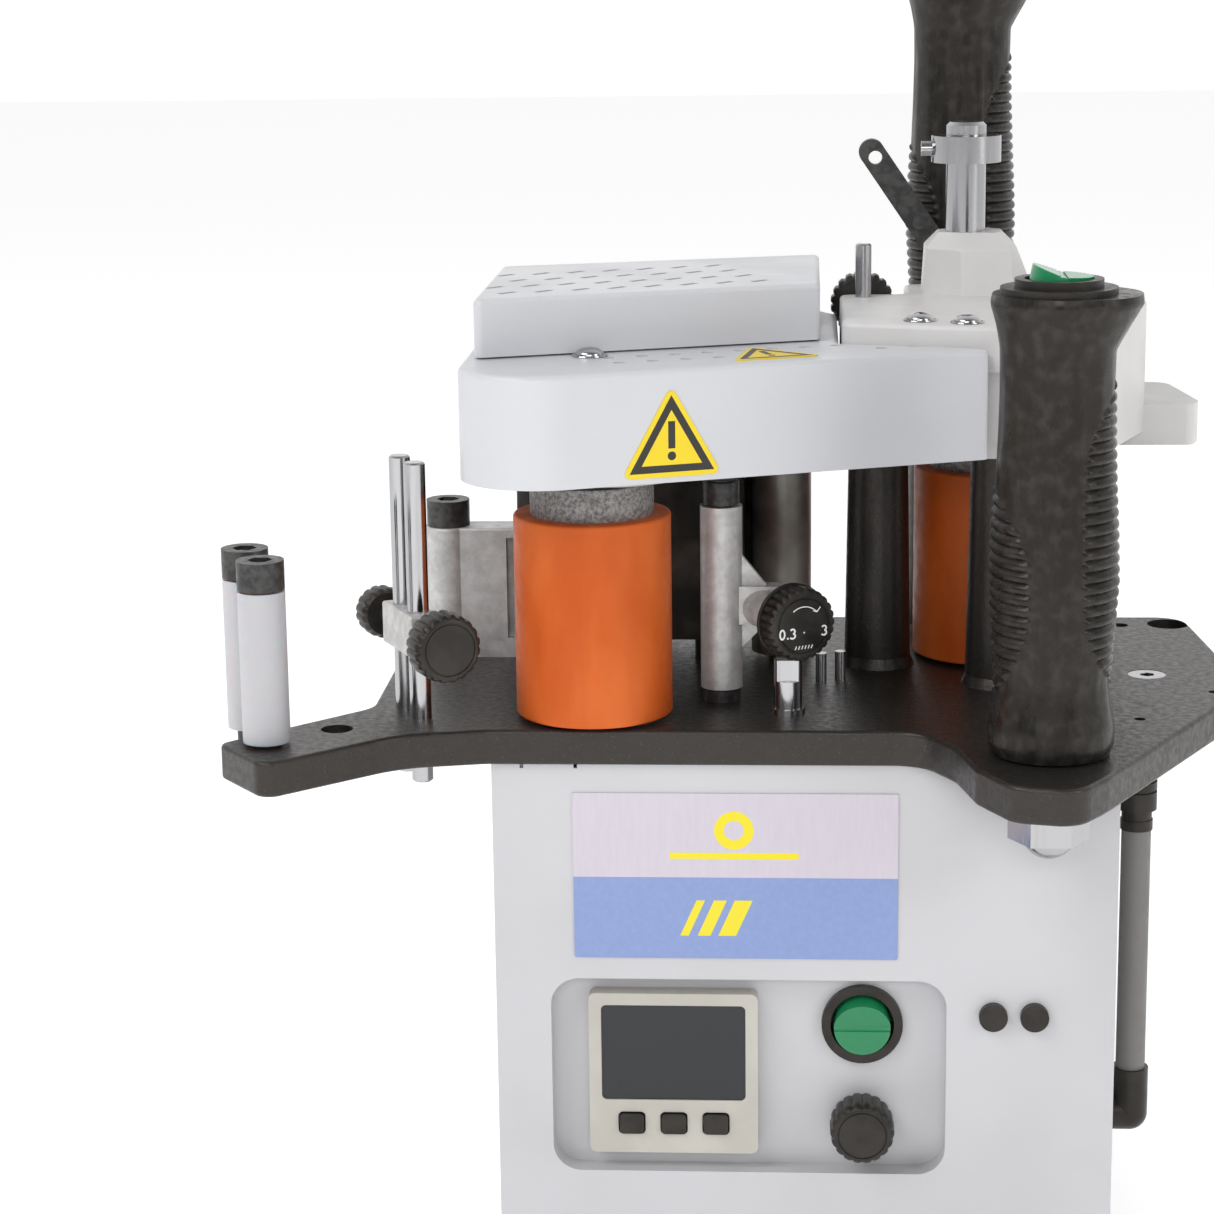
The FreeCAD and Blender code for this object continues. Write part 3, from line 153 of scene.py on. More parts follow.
class Finish:
    """One material: a Principled shader whose sockets are set by number, colour or Val."""

    def __init__(self, name, color, **sockets):
        self.material = bpy.data.materials.new(name)
        self.material.use_nodes = True
        self.tree = self.material.node_tree
        self.shader = self.tree.nodes["Principled BSDF"]
        self.object = None
        self.put("Base Color", color)
        for socket, value in sockets.items():
            self.put(socket.replace("_", " "), value)

    def put(self, socket, value):
        target = self.shader.inputs[socket]
        if isinstance(value, Val):
            self.tree.links.new(value.socket, target)
        elif isinstance(value, (tuple, list)) and target.type == "RGBA":
            target.default_value = (*value[:3], 1)
        else:
            target.default_value = value

    def node(self, kind, settings, inputs, output=0):
        node = self.tree.nodes.new(kind)
        for key, value in settings.items():
            setattr(node, key, value)
        for key, value in inputs.items():
            socket = node.inputs[key]
            if isinstance(value, Val):
                self.tree.links.new(value.socket, socket)
            elif isinstance(value, (tuple, list)) and socket.type == "RGBA":
                socket.default_value = (*value[:3], 1)
            else:
                socket.default_value = value
        return Val(self, node.outputs[output])

    def place(self):
        """The point on the piece, in metres."""
        if self.object is None:
            self.object = self.node("ShaderNodeTexCoord", {}, {}, "Object")
        return self.object

    def along(self, way, start):
        """How far the point is from start along the unit vector way."""
        reach = self.node("ShaderNodeVectorMath", {"operation": "DOT_PRODUCT"},
                          {0: self.place(), 1: tuple(way)}, "Value")
        return reach - Vector(start).dot(Vector(way))

    def noise(self, per_metre, detail=2.0, rough=0.5, stretch=None):
        where = self.place()
        if stretch:
            where = self.node("ShaderNodeMapping", {}, {"Vector": where, "Scale": stretch})
        return self.node("ShaderNodeTexNoise", {}, {"Vector": where, "Scale": per_metre, "Detail": detail,
                                                   "Roughness": rough}, "Fac")

    def mix(self, low, high, share):
        """Colour low where share is 0 and high where it is 1."""
        node = self.tree.nodes.new("ShaderNodeMix")
        node.data_type = "RGBA"
        for index, value in ((0, share), (6, low), (7, high)):
            if isinstance(value, Val):
                self.tree.links.new(value.socket, node.inputs[index])
            else:
                node.inputs[index].default_value = (*value[:3], 1) if index else value
        return Val(self, node.outputs[2])

    def bump(self, height, strength, deep):
        self.put("Normal", self.node("ShaderNodeBump", {},
                                     {"Height": height, "Strength": strength, "Distance": deep}))

    def on(self, *nodes):
        """Gives this finish to CAD nodes."""
        for name in nodes:
            NODES[name].data.materials.clear()
            NODES[name].data.materials.append(self.material)


def patchy(finish, color, other, per_metre, low=0.35, high=0.65):
    """Patches of the other colour, in a soft noise of per_metre patches to the metre."""
    return finish.mix(color, other, finish.noise(per_metre, 3.0).ramp(low, high))


# The floor: a wide matt white sheet with a little glow of its own, so that it stays white.
REACH = 6
floor_mesh = bpy.data.meshes.new("floor")
floor_mesh.from_pydata([(-REACH, -REACH, 0), (REACH, -REACH, 0), (REACH, REACH, 0), (-REACH, REACH, 0)],
                       [], [(0, 1, 2, 3)])
floor = bpy.data.objects.new("floor", floor_mesh)
bpy.context.scene.collection.objects.link(floor)
floor_mesh.materials.append(Finish("floor_white", (0.93, 0.93, 0.93), Roughness=0.9, Emission_Strength=0.38,
                                   Emission_Color=(1, 1, 1)).material)


# ---------------------------------------------------------------- base plate and columns
# Cast plate and tapered posts in black crackle enamel: fine grain, greyer where hands and
# strip have rubbed it.
enamel = Finish("black_enamel", (0.02, 0.018, 0.016), Specular_Tint=(1.0, 0.93, 0.87, 1))
grit = enamel.noise(1500, 4, 0.75).ramp(0.60, 0.72)
enamel.put("Base Color", enamel.mix((0.016, 0.0145, 0.013), (0.16, 0.15, 0.14), grit * 0.55))
enamel.put("Roughness", enamel.noise(500, 3).ramp(0.3, 0.7, 0.30, 0.45))
enamel.bump(enamel.noise(1400, 3, 0.6) + enamel.noise(480, 2) * 0.5, 0.32, 0.0003)
enamel.on("base_plate", "support_columns")


# ---------------------------------------------------------------- control box and front panel
# Folded sheet steel, powder coated light grey-white: a faint orange peel and a little soiling.
powder = Finish("box_powder_coat", (0.75, 0.75, 0.75))
powder.put("Base Color", patchy(powder, (0.54, 0.54, 0.56), (0.505, 0.505, 0.52), 18, 0.4, 0.75))
powder.put("Roughness", powder.noise(60, 2).ramp(0.3, 0.7, 0.34, 0.46))
powder.bump(powder.noise(900, 2), 0.12, 0.0003)
powder.on("control_box", "front_panel", "control_recess")


# ---------------------------------------------------------------- folded covers
# The gear cover and the hood over the glue pot: cool white coat on thin folded steel.
cool = Finish("cover_powder_coat", (0.70, 0.72, 0.75))
cool.put("Base Color", patchy(cool, (0.585, 0.59, 0.615), (0.555, 0.56, 0.585), 14, 0.35, 0.8))
cool.put("Roughness", cool.noise(45, 2).ramp(0.3, 0.7, 0.28, 0.42))
cool.bump(cool.noise(700, 2), 0.14, 0.0003)
cool.on("lower_cover", "upper_cover")


# ---------------------------------------------------------------- cast head
# Sand cast aluminium under white enamel: softer, warmer and a little uneven.
cast_white = Finish("casting_enamel", (0.74, 0.74, 0.75))
cast_white.put("Base Color", patchy(cast_white, (0.645, 0.635, 0.63), (0.585, 0.575, 0.57), 30, 0.3, 0.8))
cast_white.put("Roughness", cast_white.noise(80, 2).ramp(0.3, 0.7, 0.36, 0.52))
cast_white.bump(cast_white.noise(350, 3) + cast_white.noise(60, 2) * 2.0, 0.25, 0.0004)
cast_white.on("upper_casting")


# ---------------------------------------------------------------- bright and turned steel
# Plated rods and screws, turned shafts and gears, blackened screws.
chrome = Finish("bright_plate", (0.42, 0.42, 0.43), Metallic=1.0)
chrome.put("Roughness", chrome.noise(500, 3, stretch=(1, 1, 0.05)).ramp(0.3, 0.75, 0.10, 0.30))
chrome.bump(chrome.noise(900, 3, stretch=(1, 1, 0.04)), 0.08, 0.0002)
chrome.on("guide_pins", "mast", "stop_rod", "handle_studs", "cover_screws")

turned = Finish("turned_steel", (0.42, 0.41, 0.40), Metallic=1.0)
turned.put("Base Color", patchy(turned, (0.56, 0.55, 0.54), (0.42, 0.41, 0.40), 90))
turned.put("Roughness", turned.noise(700, 3, stretch=(1, 1, 0.1)).ramp(0.3, 0.7, 0.25, 0.45))
turned.on("feed_gear", "press_gear", "drive_shaft", "idler_gear_a", "idler_gear_b",
          "idler_studs", "gear_motor", "heater_cartridges")

blacked = Finish("blackened_steel", (0.035, 0.035, 0.036), Metallic=0.35)
blacked.put("Base Color", patchy(blacked, (0.030, 0.030, 0.031), (0.065, 0.063, 0.06), 400))
blacked.put("Roughness", blacked.noise(500, 3).ramp(0.3, 0.7, 0.32, 0.5))
blacked.bump(blacked.noise(1500, 2), 0.2, 0.0002)
blacked.on("guide_screws", "stay_bar", "swivel_post")

bronze = Finish("bush_bronze", (0.5, 0.33, 0.15), Metallic=1.0)
bronze.put("Roughness", bronze.noise(900, 2).ramp(0.3, 0.7, 0.3, 0.5))
bronze.on("shaft_bearings")


# ---------------------------------------------------------------- cast aluminium guides and pot
# The fence, clamp block and swivel arm: grey as-cast skin, blasted, with milled faces. The glue pot: near
# black, with faint brown patches.
alloy = Finish("cast_alloy", (0.52, 0.51, 0.50), Metallic=0.55)
skin = alloy.noise(220, 5, 0.65).ramp(0.3, 0.7)
alloy.put("Base Color", alloy.mix((0.50, 0.49, 0.485), (0.66, 0.655, 0.65), skin))
alloy.put("Roughness", alloy.noise(350, 3).ramp(0.3, 0.7, 0.42, 0.62))
alloy.bump(alloy.noise(900, 4, 0.6) + alloy.noise(240, 3), 0.35, 0.0003)
alloy.on("fence_block", "height_guide", "thickness_arm")

# Near-black colour on the glue pot, with patches a little browner and lighter.
dark_pot = Finish("dark_pot_alloy", (0.03, 0.027, 0.024), Metallic=0.4)
dark_pot.put("Base Color", patchy(dark_pot, (0.022, 0.019, 0.016), (0.085, 0.07, 0.058), 60, 0.45, 0.8))
dark_pot.put("Roughness", dark_pot.noise(200, 3).ramp(0.3, 0.7, 0.45, 0.7))
dark_pot.bump(dark_pot.noise(500, 3), 0.3, 0.0003)
dark_pot.on("glue_pot")

glued = Finish("glued_steel", (0.22, 0.20, 0.185), Metallic=0.7)
glued.put("Base Color", patchy(glued, (0.30, 0.28, 0.26), (0.19, 0.17, 0.15), 70, 0.4, 0.7))
glued.put("Roughness", glued.noise(120, 3, stretch=(1, 1, 0.2)).ramp(0.3, 0.7, 0.38, 0.55))
glued.on("glue_roller")


# ---------------------------------------------------------------- driven rollers
# Cast polyurethane sleeves, orange, slightly waxy, on rough grey cast hubs.
orange = Finish("orange_polyurethane", (0.55, 0.10, 0.02), Subsurface_Weight=0.08, Subsurface_Scale=0.003,
                Specular_IOR_Level=0.32, Specular_Tint=(1.0, 0.86, 0.72, 1))
tone = orange.noise(70, 3, stretch=(1, 1, 0.35)).ramp(0.25, 0.8)
orange.put("Base Color", orange.mix((0.50, 0.080, 0.008), (0.62, 0.13, 0.022), tone))
orange.put("Roughness", orange.noise(240, 3).ramp(0.3, 0.7, 0.40, 0.58))
orange.bump(orange.noise(520, 3, stretch=(1, 1, 0.5)), 0.18, 0.0003)
orange.on("feed_sleeve", "press_sleeve")

hub = Finish("cast_hub", (0.3, 0.29, 0.28), Metallic=0.3)
grain = hub.noise(900, 4, 0.7).ramp(0.35, 0.65)
hub.put("Base Color", hub.mix((0.16, 0.155, 0.15), (0.42, 0.41, 0.40), grain))
hub.put("Roughness", hub.noise(600, 2).ramp(0.3, 0.7, 0.5, 0.75))
hub.bump(hub.noise(1300, 4, 0.7), 0.9, 0.0006)
hub.on("feed_core", "press_core")


# ---------------------------------------------------------------- nylon tape rollers
# Turned from natural nylon: milky and slightly see-through.
nylon = Finish("milky_nylon", (0.62, 0.62, 0.65), Subsurface_Weight=0.6, Subsurface_Scale=0.006,
               Transmission_Weight=0.25, Roughness=0.35)
nylon.bump(nylon.noise(800, 2, stretch=(1, 1, 6)), 0.08, 0.0002)
nylon.on("nylon_roller_a", "nylon_roller_b")


# ---------------------------------------------------------------- moulded plastics and rubber
# Knobs, frames, glands, feet and cable.
moulded = Finish("black_moulding", (0.016, 0.0145, 0.013), Specular_IOR_Level=0.34,
                 Specular_Tint=(1.0, 0.92, 0.85, 1))
moulded.put("Base Color", patchy(moulded, (0.014, 0.0128, 0.0115), (0.026, 0.024, 0.022), 150))
moulded.put("Roughness", moulded.noise(300, 3).ramp(0.3, 0.7, 0.30, 0.45))
moulded.bump(moulded.noise(1200, 2), 0.12, 0.0002)
moulded.on("clamp_knob_front", "clamp_knob_back", "dial_knob", "rod_clamp_knob", "speed_knob",
           "switch_frames", "panel_fittings", "grip_collars", "cable_glands", "mains_inlet", "rubber_feet",
           "controller_key_1", "controller_key_2", "controller_key_3")

sheath = Finish("cable_sheath", (0.17, 0.162, 0.155))
sheath.put("Roughness", sheath.noise(300, 2).ramp(0.3, 0.7, 0.4, 0.6))
sheath.on("switch_cable")

beige = Finish("beige_moulding", (0.50, 0.48, 0.43))
beige.put("Base Color", patchy(beige, (0.50, 0.48, 0.43), (0.45, 0.43, 0.385), 60))
beige.put("Roughness", beige.noise(400, 2).ramp(0.3, 0.7, 0.4, 0.55))
beige.on("temperature_controller")

window = Finish("dark_window", (0.012, 0.014, 0.017), Roughness=0.12)
window.on("controller_window")

green = Finish("green_rocker", (0.02, 0.33, 0.13), Roughness=0.18, Transmission_Weight=0.35,
               Subsurface_Weight=0.3, Subsurface_Scale=0.004)
green.on("power_rocker", "handle_rocker")

board = Finish("board_green", (0.02, 0.15, 0.06), Roughness=0.5)
board.on("drive_board")


# ---------------------------------------------------------------- name plate
# Foil label: brushed lilac-silver above a blue band, with a plain yellow mark on each band - a
# roller on its strip, and three slanted bars.
foil = Finish("label_foil", (0.5, 0.48, 0.52), Roughness=0.42)
corner = tuple(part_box("label_plate")[0])
right, up = foil.along((1, 0, 0), corner), foil.along((0, 0, 1), corner)
BAND_EDGE, MARK_MIDDLE = 0.0238, 0.045
DISC_UP, DISC_R, DISC_HOLE = 0.0375, 0.0055, 0.0028
STRIP_UP, STRIP_HALF, STRIP_REACH = 0.0301, 0.0009, 0.018
BARS_UP, BARS_REACH, LEAN = 0.0119, 0.0052, 0.45
upper = up.over(BAND_EDGE)
silver = foil.mix((0.53, 0.48, 0.55), (0.60, 0.56, 0.62), foil.noise(900, 3, 0.6, stretch=(1, 1, 0.15)))
blue = foil.mix((0.20, 0.27, 0.52), (0.25, 0.33, 0.58), foil.noise(700, 3, 0.6))
disc = (right - MARK_MIDDLE).math("POWER", 2.0) + (up - DISC_UP).math("POWER", 2.0)
strip = (up - STRIP_UP).size().under(STRIP_HALF) * (right - MARK_MIDDLE).size().under(STRIP_REACH)
slanted = right - up * LEAN
thick_bar, middle_bar, thin_bar = ((slanted - place).size().under(half)
                                   for place, half in ((0.040, 0.0025), (0.0335, 0.0018), (0.028, 0.0012)))
bars = (thick_bar + middle_bar + thin_bar) * (up - BARS_UP).size().under(BARS_REACH)
marks = (disc.under(DISC_R ** 2) * disc.over(DISC_HOLE ** 2) + strip) * upper + bars
foil.put("Base Color", foil.mix(foil.mix(blue, silver, upper), (0.78, 0.66, 0.02), marks.least(1.0)))
foil.put("Metallic", upper * 0.25)
foil.on("label_plate")


# ---------------------------------------------------------------- grips
# Moulded rubber-like sleeves on the studs: a waisted body with fields of round ribs down both
# sides, a smooth faceted panel in front and behind, a flared foot and a thumb ledge at the top.
CREASE, WELD = math.radians(42), 1e-7


def surface(name, grids, body, finish, ends_open=True):
    """One mesh from grids of points (rows, columns, 3), riding on body. The last column joins the
    first, the last row joins the first unless ends_open, and a row that shrinks to a point is
    welded into it."""
    points, faces, start = [], [], 0
    for grid in grids:
        rows, columns = grid.shape[:2]
        index = start + np.arange(rows * columns).reshape(rows, columns)
        after, above = np.roll(index, -1, 1), np.roll(index, -1, 0)
        quads = np.stack([index, after, np.roll(above, -1, 1), above], -1)
        faces.append((quads[:-1] if ends_open else quads).reshape(-1, 4))
        points.append(grid.reshape(-1, 3))
        start += rows * columns
    mesh = bpy.data.meshes.new(name)
    mesh.from_pydata(np.concatenate(points).tolist(), [], np.concatenate(faces).tolist())
    form = bmesh.new()
    form.from_mesh(mesh)
    bmesh.ops.remove_doubles(form, verts=form.verts, dist=WELD)
    form.to_mesh(mesh)
    form.free()
    mesh.polygons.foreach_set("use_smooth", [True] * len(mesh.polygons))
    mesh.set_sharp_from_angle(angle=CREASE)
    mesh.materials.append(finish.material)
    piece = bpy.data.objects.new(name, mesh)
    bpy.context.scene.collection.objects.link(piece)
    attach(piece, body)
    return piece


def around(profile, turns, origin, first, second, axis):
    """Points origin + r (first cos a + second sin a) + h axis for a profile of (r, h), where r may
    be a row of radii, one for each angle."""
    radii = np.array([np.broadcast_to(r, turns.shape) for r, _ in profile])[..., None]
    heights = np.array([h for _, h in profile])[:, None, None]
    spoke = np.cos(turns)[:, None] * np.array(first) + np.sin(turns)[:, None] * np.array(second)
    return np.array(origin) + radii * spoke + heights * np.array(axis)


rubber = Finish("grip_rubber", (0.015, 0.0135, 0.012), Specular_IOR_Level=0.30,
                Specular_Tint=(1.0, 0.92, 0.85, 1))
rubber.put("Base Color", patchy(rubber, (0.012, 0.0108, 0.0096), (0.030, 0.0275, 0.025), 260, 0.4, 0.75))
rubber.put("Roughness", rubber.noise(420, 4, 0.6, stretch=(1, 1, 0.12)).ramp(0.3, 0.7, 0.22, 0.46))
rubber.bump(rubber.noise(900, 3, stretch=(1, 1, 0.25)), 0.16, 0.0002)

GRIP_HIGH, RIB_PITCH = 0.1229, 0.00305
LEDGE_OUT = 0.0048          # how far the ledge's circle is off the stud's axis
COLLAR_R, COLLAR_LOW = 0.0106, 0.105
BORE_R, FOOT_LOW = 0.0051, 0.0006
# Height and radius of the waisted body, in millimetres.
SECTIONS = ((0.6, 15.6), (2.6, 16.8), (8, 16.9), (14, 15.7), (20, 15.0), (33, 15.9), (47, 16.8), (60, 16.4),
            (72, 15.7), (85, 15.2), (98, 14.9), (109, 15.0), (115, 16.1), (120.8, 17.8), (122.9, 17.0))


def grip(name, node, foot):
    """Radius R(z) of the waisted body, raised to the off-centre ledge near the top; inside the side
    fields it is R + 0.5 - 1.5 (1 - b) mm, with b the half-round bead of each rib, and outside them
    |sin 8a| draws shallow facets. Angles are from +X and the fields are 90 degrees off the front."""
    turns = np.linspace(0, 2 * np.pi, 144, endpoint=False)
    from_front = (np.degrees(turns) + 90 + 180) % 360 - 180
    heights = np.concatenate([np.linspace(FOOT_LOW, 0.0155, 14), np.arange(0.0165, 0.0995, RIB_PITCH / 8),
                              np.linspace(0.1005, 0.1214, 22), [0.1223, GRIP_HIGH]])
    smooth_z = np.linspace(0, 123.5, 1236)
    rough_r = np.interp(smooth_z, *np.array(SECTIONS).T)
    smooth_r = np.convolve(np.pad(rough_r, 15, "edge"), np.ones(31) / 31, "valid")
    waist = np.interp(heights * 1000, smooth_z, smooth_r)[:, None] / 1000
    reach = np.interp(heights, [0.106, 0.109, 0.1205, GRIP_HIGH], [0.006, 0.0105, 0.0171, 0.0168])[:, None]
    ledge = LEDGE_OUT * np.cos(turns) + np.sqrt(reach ** 2 - (LEDGE_OUT * np.sin(turns)) ** 2)
    body = (waist + ledge + np.sqrt((waist - ledge) ** 2 + 0.0006 ** 2)) / 2
    z = heights[:, None] * 1000
    half_right = 67 - 61 * np.abs((z - 57) / np.where(z < 57, 37, 42)) ** 5
    half_left = 64 - 60 * np.abs((z - 45) / np.where(z < 45, 28, 27)) ** 3
    inside = np.maximum(half_right - np.abs(from_front - 90), half_left - np.abs(from_front + 90))
    field = np.clip(inside / 2, 0, 1)
    bead = np.sqrt(np.clip(1 - (2 * ((z / 1000 / RIB_PITCH) % 1) - 1) ** 2, 0, 1))
    plain = np.clip((z - 12) / 6, 0, 1) * np.clip((104 - z) / 6, 0, 1)
    facets = 0.00016 * np.abs(np.sin(8 * turns)) * plain
    body = body - facets * (1 - field) + field * (0.0005 - 0.0015 * (1 - bead))
    profile = list(zip(body, heights))
    profile += [(0.0152, GRIP_HIGH + 0.0001), (COLLAR_R, GRIP_HIGH), (COLLAR_R, COLLAR_LOW),
                (BORE_R, COLLAR_LOW), (BORE_R, FOOT_LOW)]
    grid = around(profile, turns, foot, (1, 0, 0), (0, 1, 0), (0, 0, 1))
    piece = surface(name, [grid], "machine", rubber, ends_open=False)
    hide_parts(node)


grip("front_sleeve", "front_grip", DATUM + Vector((0.1246, -0.039, 0)))
grip("rear_sleeve", "rear_grip", DATUM + Vector((0.108, 0.141, 0.076)))


# ---------------------------------------------------------------- clamp knobs, speed knob and dial
# Black moulded knobs with flutes round the rim and a soft front edge, each on its screw.
def knob(name, node, body, start, axis, radius, deep, flutes, stem, plate=None):
    """n flutes cut the rim: r = radius - cut |cos(n a / 2)|^6, with the cut easing out at both ends.
    stem is (radius, length) of the screw behind the back face, and plate the radius of a wider back
    flange, if there is one."""
    axis = Vector(axis).normalized()
    first = Vector((0, 0, 1))
    second = axis.cross(first)
    turns = np.linspace(0, 2 * np.pi, flutes * 10, endpoint=False)
    wave = np.abs(np.cos(flutes * turns / 2)) ** 6
    cut = 0.075 * radius
    profile = [(0.0, -stem[1]), (stem[0], -stem[1]), (stem[0], 0.0)]
    if plate:
        profile += [(plate - 0.0003, 0.0), (plate, 0.0003), (plate, 0.0011), (plate - 0.0002, 0.0013),
                    (radius - cut, 0.0013)]
    else:
        profile += [(radius * 0.84, 0.0)]
    for share, inset, depth in ((0.10, 0.07, 0.4), (0.16, 0.02, 0.8), (0.24, 0.0, 1.0), (0.76, 0.0, 1.0),
                                (0.86, 0.015, 0.9), (0.93, 0.05, 0.6), (0.98, 0.11, 0.2), (1.0, 0.17, 0.0)):
        profile.append((radius * (1 - inset) - cut * depth * wave, deep * share))
    profile += [(radius * 0.77, deep), (radius * 0.755, deep - 0.0003), (radius * 0.73, deep - 0.0003),
                (radius * 0.715, deep), (radius * 0.4, deep + 0.0002), (0.0, deep + 0.0003)]
    grid = around(profile, turns, start, first, second, axis)
    piece = surface(name, [grid], body, moulded)
    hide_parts(node)


AXIS = Vector((0.47, -0.88, 0)).normalized()
GUIDE_Z = 0.0245
front_rod = DATUM + Vector((-0.0488, -0.0051, GUIDE_Z))
back_rod = DATUM + Vector((-0.0544, 0.006, GUIDE_Z))
BLOCK_SIDE = 0.0134         # from a rod's axis to the back of its knob
GUIDE_STEM = (0.0025, 0.0095)
knob("guide_knob_a", "clamp_knob_front", "guide_knob_front", front_rod + AXIS * BLOCK_SIDE, AXIS,
     0.0097, 0.0105, 20, GUIDE_STEM)
knob("guide_knob_b", "clamp_knob_back", "guide_knob_back", back_rod - AXIS * BLOCK_SIDE, -AXIS,
     0.0074, 0.008, 16, GUIDE_STEM)
dial_back = DATUM + Vector((0.052, 0.006, 0.027)) + AXIS * 0.008
knob("dial_rim", "dial_knob", "dial", dial_back - AXIS * 0.0012, AXIS,
     0.0104, 0.0077, 26, (0.003, 0.0088), 0.0108)
knob("stop_clamp", "rod_clamp_knob", "stop_knob", DATUM + Vector((0.0765, 0.0944, 0.1035)), (0, 1, 0),
     0.0097, 0.009, 20, (0.0025, 0.0054))
speed_low, speed_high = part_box("speed_knob")
speed_back = ((speed_low.x + speed_high.x) / 2, speed_high.y, (speed_low.z + speed_high.z) / 2)
knob("speed_cap", "speed_knob", "speed", speed_back, (0, -1, 0), 0.0091, 0.012, 18, (0.0031, 0.0))


# ---------------------------------------------------------------- dial numerals
# White print on the dial's face: the thinnest and thickest edging at either side, a centre dot,
# a turning arrow above and a row of ticks below.
print_white = Finish("print_white", (0.80, 0.80, 0.79), Roughness=0.5)
ACROSS = Vector((0, 0, 1)).cross(AXIS)
FACE = dial_back + AXIS * 0.00652
PRINT = 0.0001
THICK, DOT, FINE, TICK = 0.00048, 0.0004, 0.00028, 0.00026     # widths of the strokes


def stroke(points, wide):
    """A closed ribbon 0.1 mm thick along points (right, up), on the dial's slightly domed face."""
    line = np.array(points, float)
    ahead = np.gradient(line, axis=0)
    ahead /= np.linalg.norm(ahead, axis=1)[:, None]
    side = np.stack([-ahead[:, 1], ahead[:, 0]], 1) * wide / 2
    corners = [(line - side, 0.0), (line + side, 0.0), (line + side, PRINT), (line - side, PRINT)]
    base, across, out = (np.array(v) for v in (FACE, ACROSS, AXIS))
    dome = np.interp(np.hypot(*line.T), (0, 0.0042, 0.0075), (0.0003, 0.0002, 0.0))[:, None]
    upward = np.array((0, 0, 1))
    ring = np.stack([base + flat[:, :1] * across + flat[:, 1:] * upward + (lift + dome) * out
                     for flat, lift in corners], 1)
    tips = [np.repeat(ring[end].mean(0)[None, None], 4, 1) for end in (0, -1)]
    return np.concatenate([tips[0], ring, tips[1]])


def bow(middle, wide, high, start, stop, steps=20):
    """Points on the ellipse middle + (wide cos a, high sin a) / 2, for a from start to stop degrees."""
    a = np.radians(np.linspace(start, stop, steps))
    return np.stack([middle[0] + wide / 2 * np.cos(a), middle[1] + high / 2 * np.sin(a)], 1)


LINE = -0.0019              # the height of the numerals' middle on the face


def three(x):
    return [stroke(bow((x, LINE + 0.00065), 0.0014, 0.0013, 150, -80), THICK),
            stroke(bow((x, LINE - 0.00065), 0.0016, 0.0014, 80, -150), THICK)]


marks = [stroke(bow((-0.0067, LINE), 0.0014, 0.0026, 0, 360, 32), THICK),
         stroke([(-0.0053, -0.0031), (-0.0048, -0.0031)], 0.0005),
         stroke([(-0.0002, LINE), (0.0002, LINE)], DOT),
         stroke(bow((0, 0), 0.0108, 0.0108, 128, 42), FINE),
         stroke([(0.0052, 0.0049), (0.0040, 0.0036), (0.0029, 0.0040)], FINE)]
marks += three(-0.0036) + three(0.0063)
marks += [stroke([(x, -0.0066), (x + 0.0004, -0.0056)], TICK) for x in np.arange(-0.0027, 0.0026, 0.001)]
numerals = surface("dial_numerals", marks, "dial", print_white)


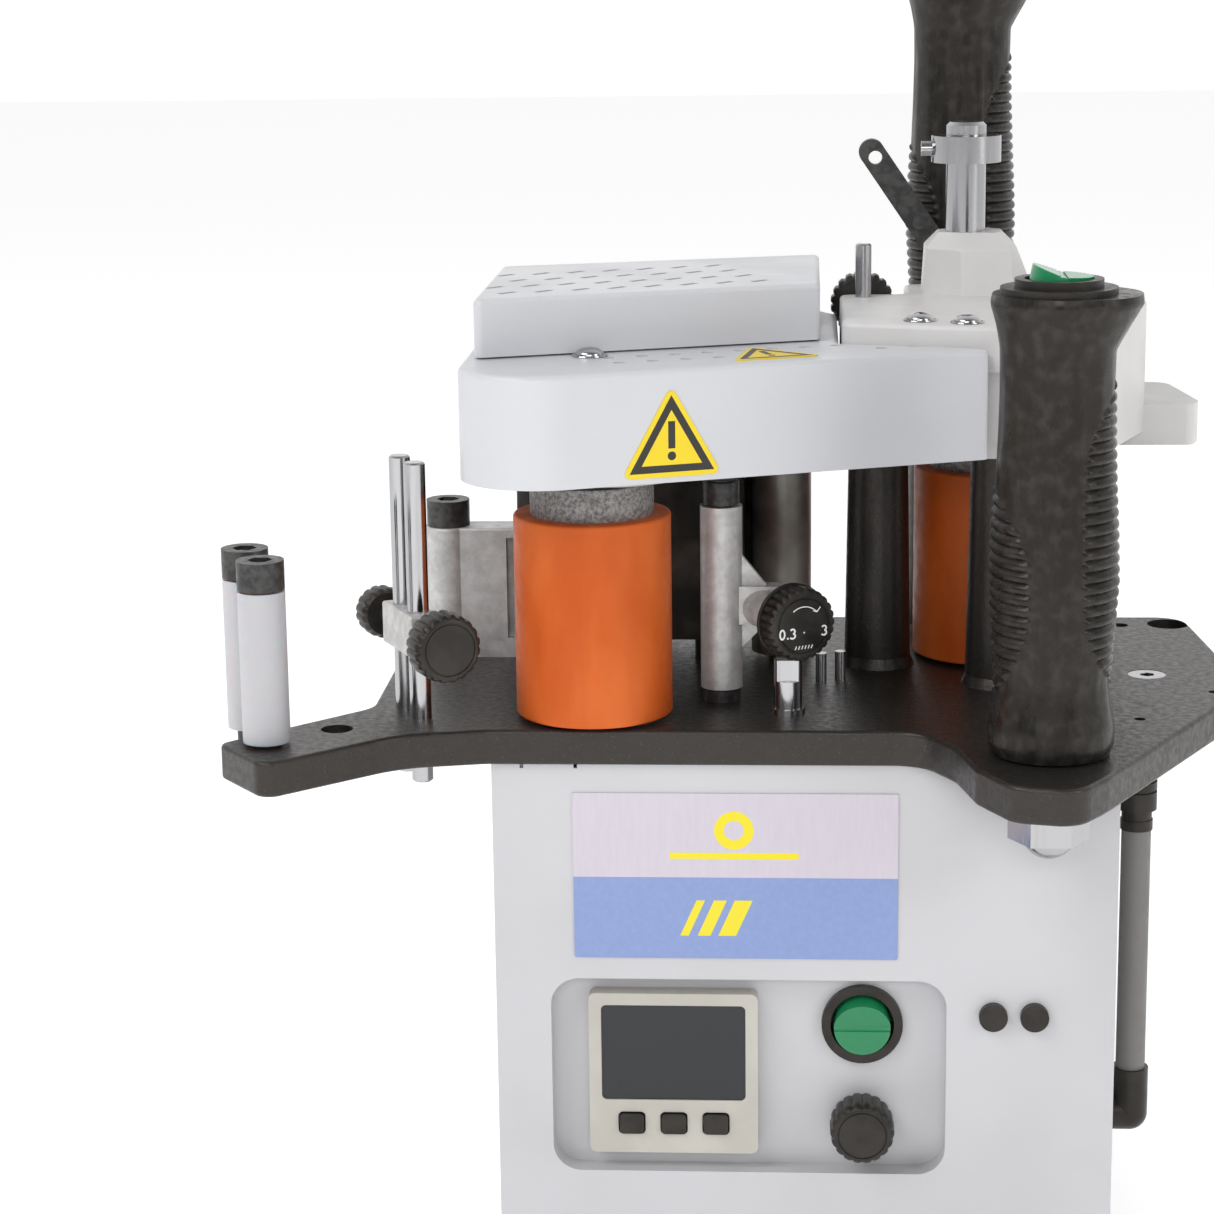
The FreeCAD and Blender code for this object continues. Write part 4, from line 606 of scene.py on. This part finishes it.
# ---------------------------------------------------------------- warning signs
# Two stick-on triangles on the gear cover, yellow with a black border and a plain bar over a dot:
# one stands on the front face and one lies on the top.
def sign(name, foot, along, up, side):
    """A triangle with round corners: three arcs of 1.5 mm about points inset from its tips."""
    high, corner_r, thick = side * math.sqrt(3) / 2, 0.0015, 0.0003
    along, up = Vector(along).normalized(), Vector(up)
    out = along.cross(up)
    foot_tip = side / 2 - corner_r * math.sqrt(3)
    tips = ((foot_tip, corner_r), (0, high - 2 * corner_r), (-foot_tip, corner_r))
    edge = []
    for (u, v), start in zip(tips, (-90, 30, 150)):
        turns = np.radians(np.linspace(start, start + 120, 9))
        edge.append(np.stack([u + corner_r * np.cos(turns), v + corner_r * np.sin(turns)], 1))
    edge = np.concatenate(edge)
    flat = np.array(foot) + edge[:, :1] * np.array(along) + edge[:, 1:] * np.array(up)
    middle = np.repeat(flat.mean(0)[None], len(flat), 0)
    lift = np.array(out) * thick
    grid = np.stack([middle, flat, flat + lift, middle + lift])
    paint = Finish(name + "_print", (0.8, 0.6, 0.01), Roughness=0.35)
    u, v = paint.along(along, foot), paint.along(up, foot)
    inside = v.least((high - v) * 0.5 - u.size() * (math.sqrt(3) / 2))
    border = inside.over(0.045 * side) * inside.under(0.115 * side)
    bar = u.size().under(0.035 * side) * (v - 0.40 * side).size().under(0.13 * side)
    dot = (u.math("POWER", 2.0) + (v - 0.20 * side).math("POWER", 2.0)).under((0.042 * side) ** 2)
    black = (border + bar + dot).least(1.0)
    paint.put("Base Color", paint.mix((0.80, 0.60, 0.008), (0.02, 0.018, 0.015), black))
    return surface(name, [grid], "machine", paint)


SLOPE = Vector((0.1445, 0.0573, 0)).normalized()
standing = sign("standing_sign", DATUM + Vector((0.0235, -0.02622, 0.0726)), SLOPE, (0, 0, 1), 0.0285)
lying = sign("lying_sign", DATUM + Vector((0.052, -0.0065, 0.1015)), SLOPE,
             Vector((0, 0, 1)).cross(SLOPE), 0.026)
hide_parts("hazard_signs")


# ---------------------------------------------------------------- screws in the covers and plate
# Bright round headed screws on thin washers, and the flat countersunk one in the plate.
def round_head(foot, radius, high):
    """Dome high sqrt(1 - (r / radius)^2) over a thin washer."""
    turns = np.linspace(0, 2 * np.pi, 48, endpoint=False)
    rise = np.radians(np.linspace(0, 90, 12))
    washer = 0.0005
    profile = [(0.0, 0.0), (radius * 1.22, 0.0), (radius * 1.25, 0.0002), (radius * 1.22, washer),
               (radius, washer)]
    profile += [(radius * math.cos(a), washer + high * math.sin(a)) for a in rise[1:-1]]
    profile += [(0.0, washer + high)]
    return around(profile, turns, foot, (1, 0, 0), (0, 1, 0), (0, 0, 1))


def sunk_head(foot, radius):
    """Flat head with a six-sided socket, flush with the plate."""
    turns = np.linspace(0, 2 * np.pi, 48, endpoint=False)
    sixth = (turns + np.pi / 6) % (np.pi / 3) - np.pi / 6
    socket = 0.0018 / np.cos(sixth)
    profile = [(0.0, -0.009), (0.0025, -0.009), (0.0025, -0.0031), (radius, -0.0001),
               (socket + 0.0002, -0.0001), (socket, -0.0003), (socket, -0.002), (0.0, -0.002)]
    return around(profile, turns, foot, (1, 0, 0), (0, 1, 0), (0, 0, 1))


heads = [round_head(DATUM + Vector((0, 0, 0.1015)), 0.0040, 0.0021),
         round_head(DATUM + Vector((0.0915, 0.0295, 0.107)), 0.0038, 0.0019),
         round_head(DATUM + Vector((0.1045, 0.0245, 0.107)), 0.0038, 0.0019),
         sunk_head(DATUM + Vector((0.1596, 0.0469, 0)), 0.0055)]
screws = surface("bright_screws", heads, "machine", chrome)
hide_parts("cover_screws")
